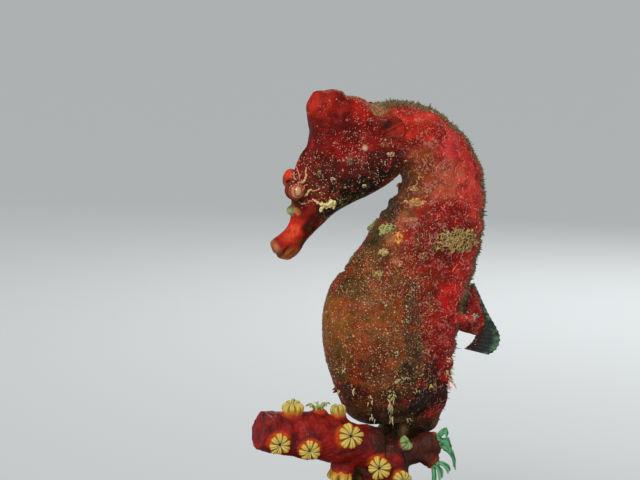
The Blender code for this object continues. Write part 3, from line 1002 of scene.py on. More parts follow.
@dataclass(frozen=True)
class Head:
    """The head in its own frame: along its axis to the mouth, aside, and up to the crown.

    Attributes:
        joint: Where the head's axis leaves the neck.
        drop, yaw, roll: In degrees, how far it points below level, turns right and leans left.
        rows: Along, crown, chin, half width and narrowing of the crown.
        crest_rows: The coronet's height, rear and front ends along, and half width.
        steps: How many outlines the skull behind the lips, the lips and the coronet have.
        around: How many points an outline of the skull and of the coronet has.
        right_eye_shift: How far the right turret sits from the left one's mirror.
    """

    joint: Triple = (0.2, 0.0, 98.2)
    drop: float = 43.0
    yaw: float = 8.0
    roll: float = 10.0
    rows: tuple = (
        (-7.0, 6.2, -6.0, 5.2, 0.15), (-3.2, 6.6, -6.2, 5.5, 0.18), (0.5, 8.0, -6.3, 5.9, 0.22),
        (5.0, 9.7, -6.2, 6.2, 0.30), (10.0, 10.6, -5.6, 6.1, 0.38), (15.0, 11.3, -4.1, 5.0, 0.38),
        (19.0, 9.9, -2.95, 4.1, 0.28), (22.5, 7.4, -2.65, 3.4, 0.15), (25.4, 4.1, -2.8, 2.5, 0.10),
        (28.0, 1.95, -3.0, 2.15, 0.0), (30.6, 1.65, -3.6, 2.45, 0.0), (32.2, 1.9, -3.4, 2.55, 0.0),
        (33.4, 1.4, -2.5, 2.05, 0.0), (33.8, 0.6, -1.6, 1.1, 0.0),
    )
    crest_rows: tuple = (
        (6.0, 0.2, 16.8, 4.1), (9.0, 0.7, 17.0, 3.8), (10.5, 1.0, 15.5, 3.6), (12.3, 2.3, 13.0, 3.3),
        (13.4, 3.1, 12.2, 3.1), (14.5, 3.0, 11.7, 2.9), (15.6, 3.9, 11.0, 2.5), (16.4, 4.8, 10.3, 2.2),
        (17.1, 5.6, 9.1, 1.9), (17.6, 6.2, 8.1, 1.5), (18.0, 6.7, 7.3, 0.9),
    )
    eye_place: Triple = (22.8, 3.35, 7.35)
    right_eye_shift: Triple = (-1.3, -0.4, 0.0)
    turret_aside: float = 2.45
    turret_radius: float = 1.95
    right_lobe: Triple = (21.4, 1.6, 8.85)
    right_lobe_radius: float = 0.9
    nose_place: Triple = (25.8, -0.2, 3.9)
    nose_radius: float = 1.0
    lips_start: float = 30.0
    steps: tuple = (120, 26, 60)
    around: tuple = (112, 96)
    squareness: float = 2.6

    def axes(self) -> Array:
        """The directions ahead, aside (to the animal's right) and up, as rows.

        Returns:
            Three unit vectors.
        """
        turn = (
            Matrix.Rotation(-math.radians(self.yaw), 3, "Z")
            @ Matrix.Rotation(-math.radians(self.drop), 3, "Y")
            @ Matrix.Rotation(math.radians(self.roll), 3, "X")
        )
        turn = np.array(turn)
        return np.stack([-turn[:, 0], turn[:, 1], turn[:, 2]])

    def point(self, place: Array) -> Array:
        """A place along, aside and up in the frame's own millimetres."""
        return np.array(self.joint) + np.asarray(place, float) @ self.axes()

    def read(self, points: Array) -> Array:
        """The other way round: points as along, aside and up."""
        return (points - np.array(self.joint)) @ self.axes().T

    def skull(self) -> Shape:
        """Skull and snout, one egg-shaped outline after another.

        Returns:
            The closed shape.
        """
        rows = np.array(self.rows)
        outline = Curve(rows[:, 1:], rows[:, 0])
        behind = np.linspace(rows[0, 0], self.lips_start, self.steps[0])
        lips = np.linspace(self.lips_start + 0.1, rows[-1, 0], self.steps[1])
        along = np.concatenate([behind, lips])
        crown, chin, half_width, narrowing = outline(along).T[:, :, None]
        angles = circle(self.around[0])
        middle, half_height = (crown + chin) / 2, (crown - chin) / 2
        aside = half_width * (1 - narrowing * (np.cos(angles) + 0.35)) * np.sin(angles)
        height = middle + half_height * np.cos(angles)
        return loft(self.point(np.stack([along[:, None] + 0 * aside, aside, height], axis=-1)))

    def crest(self) -> Shape:
        """The coronet: rounded oblongs stacked up from inside the skull.

        Returns:
            The closed shape.
        """
        rows = np.array(self.crest_rows)
        height = np.linspace(rows[0, 0], rows[-1, 0], self.steps[2])
        rear, front, half_width = Curve(rows[:, 1:], rows[:, 0])(height).T[:, :, None]
        angles = circle(self.around[1])
        cosine, sine = np.cos(angles), np.sin(angles)
        power = self.squareness
        bulge = (np.abs(cosine) ** power + np.abs(sine) ** power) ** (-1 / power)
        along = (rear + front) / 2 + (front - rear) / 2 * bulge * cosine
        aside = half_width * bulge * sine
        return loft(self.point(np.stack([along, aside, height[:, None] + 0 * along], axis=-1)))

    @staticmethod
    def face(along: Array, up: Array) -> Array:
        """Rises softly from 0 behind the face to 1 on it."""
        return eased(along, 1.5, 4) * eased(up, -7.5, -6)

    def eye_middle(self, side: int, aside: float) -> Array:
        """A point at a distance aside in the left (-1) or right (1) turret, in the head's frame.

        Args:
            side: Left (-1) or right (1).
            aside: How far from the head's middle plane.

        Returns:
            The point.
        """
        along, _, height = self.eye_place
        shift = np.array(self.right_eye_shift) * (side > 0)
        return np.array([along, side * aside, height]) + shift

    def turrets(self) -> list[Shape]:
        """The round turrets that carry the eyes, and the lumps on the right one and the nose.

        Returns:
            The closed shapes.
        """
        places = [self.eye_middle(side, self.turret_aside) for side in SIDES]
        made = [ball(self.point(place), self.turret_radius, 48, 30) for place in places]
        lobe = ball(self.point(self.right_lobe), self.right_lobe_radius)
        return made + [lobe, ball(self.point(self.nose_place), self.nose_radius)]


@dataclass(frozen=True)
class Body:
    """The ringed body from the neck's joint to the tail's tip.

    Attributes:
        trunk_rows: Back x and z, front x and z, half width, in the plane y = 0.
        root_rows: The tail's x, y, z, half depth, half width and outward turn down to the stem.
        stem: The stem's x, y and radius.
        coil_rows: The coil's turn round the stem in degrees, and its height.
        trunk_ridges, tail_ridges, ridge_widths: Where the ridges run, and their widths, in degrees.
        ridge_rise, groove_depth: How high and deep they are on the trunk, and how much more on the tail.
        coil_gap: How far the coil stays off the stem.
        steps: How many outlines the trunk and the tail have, of around points each.
    """

    trunk_rows: tuple = (
        (-4.3, 103.8, 1.5, 91.2, 5.6), (-0.3, 104.2, 1.75, 90.6, 5.7), (4.2, 103.7, 1.9, 90.0, 5.8),
        (8.6, 101.7, 1.95, 89.4, 6.0), (12.6, 98.5, 1.9, 88.7, 6.2), (15.8, 94.4, 1.6, 87.6, 6.4),
        (17.7, 90.2, 1.0, 86.1, 6.6), (18.3, 85.6, -0.4, 84.3, 6.9), (18.2, 80.6, -2.6, 81.9, 7.3),
        (17.6, 76.0, -5.2, 78.6, 7.7), (16.5, 71.5, -7.8, 75.0, 8.0), (15.2, 67.0, -10.2, 71.9, 8.1),
        (13.9, 63.2, -9.6, 68.6, 7.9), (12.9, 59.6, -5.5, 65.0, 7.3), (12.3, 56.6, -0.5, 60.6, 6.4),
        (11.8, 53.4, 1.4, 56.0, 5.6), (11.4, 50.0, 2.0, 51.0, 5.1), (11.0, 46.6, 2.2, 46.4, 4.8),
    )
    vent_row: int = 14
    root_rows: tuple = (
        (5.9, 0.3, 43.2, 4.3, 4.4, 0.1), (3.9, 1.5, 39.8, 4.0, 4.1, 0.35), (1.3, 3.2, 36.9, 3.7, 3.7, 0.75),
    )
    stem: Triple = (-3.2, -3.6, 4.2)
    coil_rows: tuple = (
        (76, 34.0), (92, 31.2), (112, 28.9), (138, 27.0), (180, 25.2), (230, 23.9), (290, 22.6),
        (360, 21.4), (450, 20.2), (520, 19.4), (590, 18.7),
    )
    tail_start: float = 3.3
    tail_tip: float = 0.55
    trunk_rings: int = 11
    tail_rings: int = 32
    trunk_ridges: tuple = (28, 85, 141)
    tail_ridges: tuple = (46, 138)
    ridge_widths: tuple = (8.0, 13.0)
    ridge_rise: tuple[float, float] = (0.34, 0.2)
    groove_depth: tuple[float, float] = (0.2, 0.06)
    coil_steps: int = 17
    coil_gap: float = 0.45
    steps: tuple = (330, 430)
    around: int = 120

    def coil(self) -> Array:
        """The tail's rows round the stem, in the terms of root_rows.

        Returns:
            A row for each place of the coil.
        """
        turns, heights = np.array(self.coil_rows, float).T
        share = np.linspace(0, 1, self.coil_steps)
        degrees = turns[0] + (turns[-1] - turns[0]) * share
        radius = self.tail_start + (self.tail_tip - self.tail_start) * share
        angle = np.radians(degrees)
        reach = self.stem[2] + radius + self.coil_gap
        height = Curve(heights[:, None], turns)(degrees)[:, 0]
        x, y = self.stem[0] + reach * np.cos(angle), self.stem[1] + reach * np.sin(angle)
        return np.stack([x, y, height, radius, radius, np.ones(self.coil_steps)], axis=1)

    def stations(self) -> Array:
        """Rows of middle, half depth towards the back and half width, as vectors.

        Returns:
            A row for each station, from the neck to the tail's tip.
        """
        found = []
        for back_x, back_z, front_x, front_z, half_width in self.trunk_rows:
            back, front = np.array([back_x, 0, back_z]), np.array([front_x, 0, front_z])
            found.append([*(back + front) / 2, *(back - front) / 2, *SIDE * half_width])
        rows = np.concatenate([np.array(self.root_rows), self.coil()])
        line = Curve(np.concatenate([np.array(found)[-3:, :3], rows[:, :3]]))
        for row, place in zip(rows, line.at[3:]):
            ahead = line.tangent(min(place, line.at[-1] - 0.1))
            outward = unit((row[:3] - (*self.stem[:2], 0)) * (1, 1, 0))
            back = (1 - row[5]) * unit(np.cross(ahead, SIDE)) + row[5] * outward
            back = unit(back - ahead * np.dot(back, ahead))
            found.append([*row[:3], *back * row[3], *np.cross(back, ahead) * row[4]])
        return np.array(found)

    def line(self) -> Curve:
        """The curve through the stations."""
        return Curve(self.stations())

    def ring_edges(self) -> Array:
        """Where the grooves between the rings lie, along the body.

        Returns:
            The length at each groove.
        """
        line = self.line()
        vent, end = line.at[self.vent_row], line.at[-1]
        found = []
        lengths = ((0, vent, self.trunk_rings, 0.95), (vent, end, self.tail_rings, 0.4))
        for start, stop, count, last in lengths:
            steps = np.concatenate([[0.0], np.cumsum(np.linspace(1.0, last, count))])
            found.append(start + (stop - start) * steps / steps[-1])
        return np.concatenate([found[0], found[1][1:]])

    def form(self) -> Shape:
        """The ringed and ridged surface, with marks for its length, its turn and its ridges.

        Returns:
            The closed shape.
        """
        line, edges = self.line(), self.ring_edges()
        vent, end = line.at[self.vent_row], line.at[-1]
        trunk, rest = np.linspace(0, vent, self.steps[0]), np.linspace(vent, end, self.steps[1])
        length = np.concatenate([trunk, rest[1:]])
        turn = np.linspace(-180, 180, self.around, endpoint=False)
        ring = np.clip(np.searchsorted(edges, length, "right") - 1, 0, len(edges) - 2)
        within = (length - edges[ring]) / (edges[ring + 1] - edges[ring])
        crest = np.sin(math.pi * np.clip(within, 0, 1))[:, None] ** 0.8
        rows = line(length)
        deep, wide = (np.linalg.norm(rows[:, k : k + 3], axis=1)[:, None] for k in (3, 6))
        tail = eased(length, vent - 2, vent + 6)[:, None]
        trunk_ridge, tail_ridge = (
            sum(bell(np.abs(turn) - ridge, width) for ridge in ridges)
            for ridges, width in zip((self.trunk_ridges, self.tail_ridges), self.ridge_widths)
        )
        ridge = trunk_ridge * (1 - tail) + tail_ridge * tail
        size = np.minimum(1.0, wide / 7.0 + 0.2)
        rise, groove = (at_trunk + more * tail for at_trunk, more in (self.ridge_rise, self.groove_depth))
        rise = size * rise * crest**2 * ridge - size * groove * (1 - crest)
        cosine, sine = (f(np.radians(turn))[None, :, None] for f in (np.cos, np.sin))
        points = (
            rows[:, None, :3]
            + rows[:, None, 3:6] * (1 + rise / deep)[..., None] * cosine
            + rows[:, None, 6:9] * (1 + rise / wide)[..., None] * sine
        )
        shape = loft(points)
        marks = {
            "length": length[:, None],
            "back": np.cos(np.radians(turn)),
            "ridge": ridge * crest,
            "crest": crest,
        }
        shape.marks = {name: filled(values, rise.shape) for name, values in marks.items()}
        return shape


@dataclass(frozen=True)
class Pouch:
    """The brood pouch: height, front and rear ends along x, half width; and its ring of spines, by
    turn in degrees, height and length."""

    rows: tuple = (
        (72.0, -9.4, -4.0, 1.6), (70.6, -11.4, 0.0, 5.0), (67.5, -13.6, 4.0, 7.8), (62.5, -14.8, 6.5, 9.3),
        (57.0, -14.8, 7.5, 9.7), (52.0, -13.8, 8.0, 9.4), (47.5, -12.3, 8.0, 8.3), (44.2, -11.0, 6.8, 6.9),
        (42.1, -9.7, 5.0, 5.3), (40.6, -7.4, 2.6, 3.2),
    )
    spine_rows: tuple = (
        (180, 47.6, 1.3), (152, 47.2, 1.2), (125, 46.6, 1.3), (100, 46.2, 1.7), (72, 46.4, 1.2),
        (48, 47.6, 1.3),
    )
    steps: int = 120
    around: int = 130
    spine_inset: float = 0.8
    spine_droop: float = 0.6

    def form(self) -> Shape:
        """The egg-shaped bag.

        Returns:
            The closed shape.
        """
        rows = np.array(self.rows)[::-1]
        height = np.linspace(rows[0, 0], rows[-1, 0], self.steps)
        front, rear, half_width = Curve(rows[:, 1:], rows[:, 0])(height).T[:, :, None]
        angles = circle(self.around)
        x = (front + rear) / 2 + (rear - front) / 2 * np.cos(angles)
        y = half_width * np.sin(angles)
        return loft(np.stack([x, y, height[:, None] + 0 * x], axis=-1))

    def spines(self) -> list[tuple[Array, Array]]:
        """Feet and tips of the spines round its lower end, on both sides.

        Returns:
            A foot and a tip for each spine.
        """
        rows = np.array(self.rows)[::-1]
        found = []
        for degrees, height, length in self.spine_rows:
            front, rear, half_width = (np.interp(height, rows[:, 0], rows[:, k]) for k in (1, 2, 3))
            for angle in sorted({math.radians(degrees), math.radians(-degrees % 360)}):
                away = np.array([math.cos(angle), math.sin(angle), -self.spine_droop])
                reach = np.array([(rear - front) / 2, half_width, 0.0])
                skin = np.array([(front + rear) / 2, 0.0, height]) + reach * away
                found.append((skin - away * self.spine_inset, skin + unit(away) * length))
        return found


# ---------------------------------------------------------------- the skin


class Frame(Enum):
    """The frames in which a place on the skin is given; both sides are alike in the first two."""

    HEAD = "along, aside, up"
    BODY = "x, distance from the middle plane, z"
    ONE_SIDE = "along, to the right, up"


@dataclass(frozen=True)
class Wash:
    """A soft-edged patch of colour: its frame, middle, half widths and colour, how much of the
    skin's earlier colour it covers, and how far noise breaks up its edge."""

    where: Frame
    middle: Triple
    reach: Triple
    colour: Triple
    strength: float = 1.0
    ragged: float = 0.35

    @classmethod
    def read(cls, where: Frame, *row: float) -> "Wash":
        """Reads middle, reach, colour as a screen shows it, strength and raggedness from a row."""
        return cls(where, row[:3], row[3:6], paint(*row[6:9]), *row[9:])


@dataclass(frozen=True)
class Knob:
    """A bump, or with a height below 0 a pit: its frame, middle, width and height."""

    where: Frame
    middle: Triple
    width: float
    height: float


@dataclass(frozen=True)
class Furrow:
    """A furrow, or with a depth below 0 a ridge, along points: its frame, width and depth."""

    where: Frame
    path: tuple
    width: float
    depth: float


@dataclass(frozen=True)
class Film:
    """A cloudy film: the noise at which it starts and is full, how much it covers, its colour."""

    start: float
    full: float
    strength: float
    colour: Triple


CRIMSON = paint(140, 18, 11)
TURF = paint(66, 70, 44)
POUCH_FILMS = (Film(0.12, 0.5, 0.65, paint(84, 62, 22)), Film(-0.1, -0.5, 0.6, paint(122, 38, 14)))
TRUNK_FILMS = (Film(0.1, 0.6, 0.45, paint(98, 12, 9)), Film(-0.2, -0.6, 0.25, paint(186, 56, 44)))
TAIL_DARK, TAIL_BAND, TAIL_RIDGE = paint(46, 30, 17), paint(100, 66, 36), paint(156, 118, 76)
LID_RINGS = (
    (40, 7, paint(164, 46, 24)),
    (52, 6, paint(160, 84, 54)),
    (62, 5, paint(76, 26, 14)),
    (73, 6, paint(118, 36, 21)),
)


@dataclass
class Skin:
    """One skin over all the flesh, from the lips to the tail's tip.

    Attributes:
        voxel: How wide its faces are.
        overlap: How far the skull and the coronet reach into the neck.
        lid_rows: For each fold round the eye its tilt and width in degrees, and its height.
        fin_spine: Foot and tip of the blunt spine beside the back fin.
        fin_spine_size, pouch_spine_size: Radius at the foot, and the tip's share of it.
        fin_base: x and z of the back fin's root and fleshy edge, and how thick it is.
        mouth_line: A place along and up on the mouth's line, and how steeply it drops ahead.
        cleft, lips: Depth and width of the mouth's cleft; rise, width and offset of the lips.
        search: How far off a form's surface still counts for the softening of its joints.
    """

    head: Head
    body: Body
    pouch: Pouch
    voxel: float = 0.29
    overlap: float = 0.6
    lid_rows: tuple = ((38, 5.0, -0.22), (50, 6.0, 0.16), (63, 4.5, -0.12))
    nodes: tuple = (
        "head",
        "coronet",
        "snout",
        "lower_jaw",
        "neck",
        "trunk_upper",
        "trunk_lower",
        "brood_pouch",
        *(f"tail_{k}" for k in range(1, 7)),
    )
    fin_spine: tuple = ((10.2, 3.9, 60.7), (15.3, 5.1, 61.2))
    fin_spine_size: tuple[float, float] = (1.35, 0.5)
    pouch_spine_size: tuple[float, float] = (0.62, 0.45)
    mouth_line: Triple = (31.0, -0.45, 0.12)
    cleft: tuple[float, float] = (0.75, 0.24)
    lips: Triple = (0.12, 0.3, 0.62)
    search: float = 3.0
    fin_base: tuple = (
        ((12.0, 68.4), (16.8, 66.6), 2.9), ((11.6, 66.0), (18.3, 63.9), 2.9),
        ((11.2, 63.6), (19.2, 61.4), 2.8), ((10.8, 61.2), (19.6, 58.6), 2.6),
        ((10.4, 59.0), (19.0, 56.0), 2.2),
    )

    def forms(self) -> list[Shape]:
        """The closed shapes that the skin is drawn round.

        Returns:
            The shapes.
        """
        made = [self.body.form(), *self.held_back(), self.pouch.form()]
        made += self.head.turrets()
        made += [spike(foot, tip, *self.pouch_spine_size) for foot, tip in self.pouch.spines()]
        foot, tip = (np.array(place) for place in self.fin_spine)
        for side in SIDES:
            flip = np.array([1, side, 1])
            made.append(spike(foot * flip, tip * flip, *self.fin_spine_size))
        return made + [self.fin_root()]

    def held_back(self) -> list[Shape]:
        """Skull and coronet, with what reaches behind the neck's front end pressed flat there.

        Returns:
            The two shapes.
        """
        row = self.body.line()(0.0)
        ahead = unit(np.cross(row[3:6], row[6:9]))
        made = []
        for form in (self.head.skull(), self.head.crest()):
            behind = np.minimum((form.points - row[:3]) @ ahead + self.overlap, 0)
            made.append(form.moved(-behind[:, None] * ahead))
        return made

    def fin_root(self) -> Shape:
        """The back fin's fleshy base, thick at the back and thin at its edge.

        Returns:
            The closed shape.
        """
        angles = circle(40)
        rows = Curve(np.array([[*root, *edge, thick] for root, edge, thick in self.fin_base]))
        low, high = rows.at[0], rows.at[-1]
        sections = []
        for row in rows(np.linspace(low, high, 40)):
            root, edge = np.array([row[0], 0, row[1]]), np.array([row[2], 0, row[3]])
            share = (1 - np.cos(angles)) / 2
            thick = row[4] / 2 * (1 - 0.72 * share)
            spread = np.sign(np.sin(angles)) * np.abs(np.sin(angles)) ** 0.7 * thick
            sections.append(root + (edge - root) * share[:, None] + spread[:, None] * SIDE)
        return loft(np.array(sections))

    def build(self) -> Shape:
        """Fuses the forms, softens their joints, and adds relief and colour.

        Returns:
            The skin, with its marks.
        """
        forms = self.forms()
        skin = fused(forms, self.voxel)
        body = forms[0]
        trees = [form.tree() for form in forms[:4]]
        points, far = skin.points.tolist(), self.search
        gaps = [[tree.find_nearest(point, far)[3] or far for point in points] for tree in trees]
        gaps = np.sort(np.array(gaps), axis=0)
        joint = eased(gaps[1], 1.6, 0.3)
        skin.smooth(0.5, 3)
        skin.smooth(joint * 0.6, 26)
        self.mark_length(skin, body)
        self.relief(skin)
        self.colour(skin)
        return skin

    def mark_length(self, skin: Shape, body: Shape) -> None:
        """Copies the body's marks to the skin's points, each from the nearest point of the body.

        Args:
            skin: The skin that gets the marks.
            body: The body that has them.
        """
        tree = body.tree()
        owner = np.concatenate([faces[:, 0] for faces in body.faces])
        found = [tree.find_nearest(point) for point in skin.points.tolist()]
        index = owner[np.array([hit[2] for hit in found])]
        off = np.array([hit[3] for hit in found])
        for name, values in body.marks.items():
            skin.marks[name] = values[index]
        skin.marks["off_body"] = off

    def frames(self, points: Array) -> dict[Frame, Array]:
        """Each point in the head's frame and in the body's, with both sides alike.

        Args:
            points: The points.

        Returns:
            Their places, by frame.
        """
        head = self.head.read(points)
        flat = np.array([1, 0, 1])
        return {
            Frame.ONE_SIDE: head,
            Frame.HEAD: head * flat + np.abs(head * (1 - flat)),
            Frame.BODY: points * flat + np.abs(points * (1 - flat)),
        }

    def relief(self, skin: Shape) -> None:
        """Moves the skin in and out: knobs, furrows, mouth, lids and fine lumps.

        Args:
            skin: The skin that is moved.
        """
        places = self.frames(skin.points)
        rise = 0.10 * lumps(skin.points, 2.6, 1) + 0.05 * lumps(skin.points, 1.1, 2)
        rise += 0.03 * lumps(skin.points, 0.6, 3)
        for knob in KNOBS:
            away = np.linalg.norm(places[knob.where] - knob.middle, axis=1)
            rise += knob.height * bell(away, knob.width)
        for furrow in FURROWS:
            away = distance_to_path(places[furrow.where], np.array(furrow.path))
            rise -= furrow.depth * bell(away, furrow.width)
        rise += self.mouth(places[Frame.HEAD])
        rise += self.lids(skin.points)
        skin.points += skin.normals() * rise[:, None]
        skin.smooth(0.25, 1)

    def mouth(self, at: Array) -> Array:
        """The cleft between the jaws, with a low lip on either side of it.

        Args:
            at: Places in the head's frame, with both sides alike.

        Returns:
            How far out each point goes.
        """
        along, height, slope = self.mouth_line
        from_cleft = at[:, 2] - height + slope * (at[:, 0] - along)
        ahead = eased(at[:, 0], self.head.lips_start, 32.4)
        (depth, narrow), (rise, wide, aside) = self.cleft, self.lips
        lips = rise * ahead * bell(np.abs(from_cleft) - aside, wide)
        return lips - depth * ahead * bell(from_cleft, narrow)

    def eye_tilt(self, points: Array) -> Array:
        """How far each point lies from the line out of the eye, in degrees, seen from the turret.

        Args:
            points: The points.

        Returns:
            An angle for each point.
        """
        at = self.head.read(points)
        tilt = np.full(len(points), 180.0)
        for side in SIDES:
            away = at - self.head.eye_middle(side, self.head.turret_aside)
            reach = np.linalg.norm(away, axis=1)
            turned = np.degrees(np.arccos(np.clip(side * away[:, 1] / np.maximum(reach, 1e-9), -1, 1)))
            tilt = np.where(reach < self.head.turret_radius + 0.7, np.minimum(tilt, turned), tilt)
        return tilt

    def lids(self, points: Array) -> Array:
        """A groove round the eye, a raised lid round that, and a second, lower fold."""
        tilt = self.eye_tilt(points)
        return sum(height * bell(tilt - middle, width) for middle, width, height in self.lid_rows)

    def washed(self, points: Array) -> Array:
        """The colour of the patches at each point.

        Args:
            points: The points.

        Returns:
            A colour for each point.
        """
        places = self.frames(points)
        ragged = 0.6 * lumps(points, 2.4, 5) + 0.4 * lumps(points, 0.9, 6)
        tint = np.tile(np.array(CRIMSON), (len(points), 1))
        for wash in WASHES:
            away = np.linalg.norm((places[wash.where] - wash.middle) / wash.reach, axis=1)
            share = wash.strength * eased(away + wash.ragged * ragged, 1.25, 0.6)
            tint = over(tint, share, wash.colour)
        return tint

    def colour(self, skin: Shape) -> None:
        """Paints the skin, and says where veins and specks show.

        Args:
            skin: The skin that gets the marks.
        """
        places = self.frames(skin.points)
        tint = self.paint_film(skin, self.washed(skin.points))
        tint = self.paint_tail(skin, tint)
        tint = self.paint_lids(skin.points, tint)
        skin.marks["tint"] = np.clip(tint, 0, 1)
        body, head = places[Frame.BODY], places[Frame.HEAD]
        face = self.head.face(head[:, 0], head[:, 2])
        trunk = eased(body[:, 0] * 0.5 + body[:, 2] * 0.1, 5.5, 9.0)
        skin.marks["lace"] = (0.25 + 0.75 * trunk) * (1 - face)
        snout = eased(head[:, 0], 24, 21) * (0.25 + 0.75 * eased(head[:, 2], 12.5, 10))
        skin.marks["dots"] = eased(skin.marks["length"], 160, 150) * (1 - face + face * snout)
        skin.marks["dots"] *= 0.3 + 0.7 * eased(skin.points[:, 2], 44, 49)

    def paint_film(self, skin: Shape, tint: Array) -> Array:
        """Cloudy films: olive and rust over the pouch and throat, and grey turf along the back.

        Args:
            skin: The skin.
            tint: The colour at each of its points.

        Returns:
            The new colours.
        """
        x, _, z = skin.points.T
        pouch = eased(x * 0.55 + (z - 60) * -0.06, 4.5, 1.0) * eased(z, 96, 84)
        cloudy = lumps(skin.points, 2.6, 12) + 0.6 * lumps(skin.points, 1.0, 13)
        turf = eased(skin.marks["back"], 0.76, 0.93) * eased(skin.marks["length"], 68, 52)
        turf = turf * (skin.marks["off_body"] < 0.8) * (0.75 + 0.25 * cloudy)
        high, ruddy = eased(z, 47, 53), eased(tint[:, 0], 0.012, 0.06)
        for films, where in ((POUCH_FILMS, pouch * high), (TRUNK_FILMS, (1 - pouch) * ruddy)):
            for film in films:
                share = where * film.strength * eased(cloudy, film.start, film.full)
                tint = over(tint, share, film.colour)
        return over(tint, turf, TURF)

    def paint_tail(self, skin: Shape, tint: Array) -> Array:
        """Brown tail with darker grooves, paler ridges and faint bands, and painted shade that darkens it
        towards its root under the pouch.

        Args:
            skin: The skin.
            tint: The colour at each of its points.

        Returns:
            The new colours.
        """
        length = skin.marks["length"]
        start = self.body.line().at[self.body.vent_row]
        share = eased(length, start + 8, start + 16) * eased(skin.points[:, 2], 43, 40)
        band = 0.5 + 0.5 * np.sin(length / 3.1 + lumps(skin.points, 4.0, 8))
        tail = over(TAIL_DARK, 0.3 + 0.5 * band, TAIL_BAND)
        tail *= (0.7 + 0.3 * skin.marks["crest"])[:, None]
        # Painted shade: the tail darkens towards its root, in the shade under the pouch.
        tail *= (1 - 0.7 * eased(skin.points[:, 2], 34, 39))[:, None]
        tail = over(tail, 0.7 * skin.marks["ridge"].clip(0, 1), TAIL_RIDGE)
        return over(tint, share, tail)

    def paint_lids(self, points: Array, tint: Array) -> Array:
        """Rings of scarlet and cream round the eye.

        Args:
            points: The skin's points.
            tint: The colour at each.

        Returns:
            The new colours.
        """
        tilt = self.eye_tilt(points)
        patchy = 0.55 + 0.45 * eased(lumps(points, 0.9, 14), -0.4, 0.1)
        for middle, width, colour in LID_RINGS:
            share = 0.85 * patchy * np.exp(-(((tilt + 5 * lumps(points, 0.7, 15) - middle) / width) ** 4))
            tint = over(tint, share, colour)
        return tint

    def make(self) -> Shape:
        """Builds the piece that replaces every node of flesh.

        Returns:
            The skin, with all of its marks.
        """
        shape = self.build()
        shown = Shape(shape.points, shape.faces, {k: shape.marks[k] for k in ("tint", "lace", "dots")})
        piece = shown.to_object("skin", "trunk", SkinFinish().material())
        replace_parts(piece, *self.nodes)
        return shape


def distance_to_path(points: Array, path: Array) -> Array:
    """How far each point lies from a line through the path's points.

    Args:
        points: The points.
        path: The points of the path.

    Returns:
        A distance for each point.
    """
    nearest = np.full(len(points), 1e9)
    for start, end in zip(path[:-1], path[1:]):
        along = end - start
        share = np.clip((points - start) @ along / np.dot(along, along), 0, 1)
        away = np.linalg.norm(points - start - share[:, None] * along, axis=1)
        nearest = np.minimum(nearest, away)
    return nearest


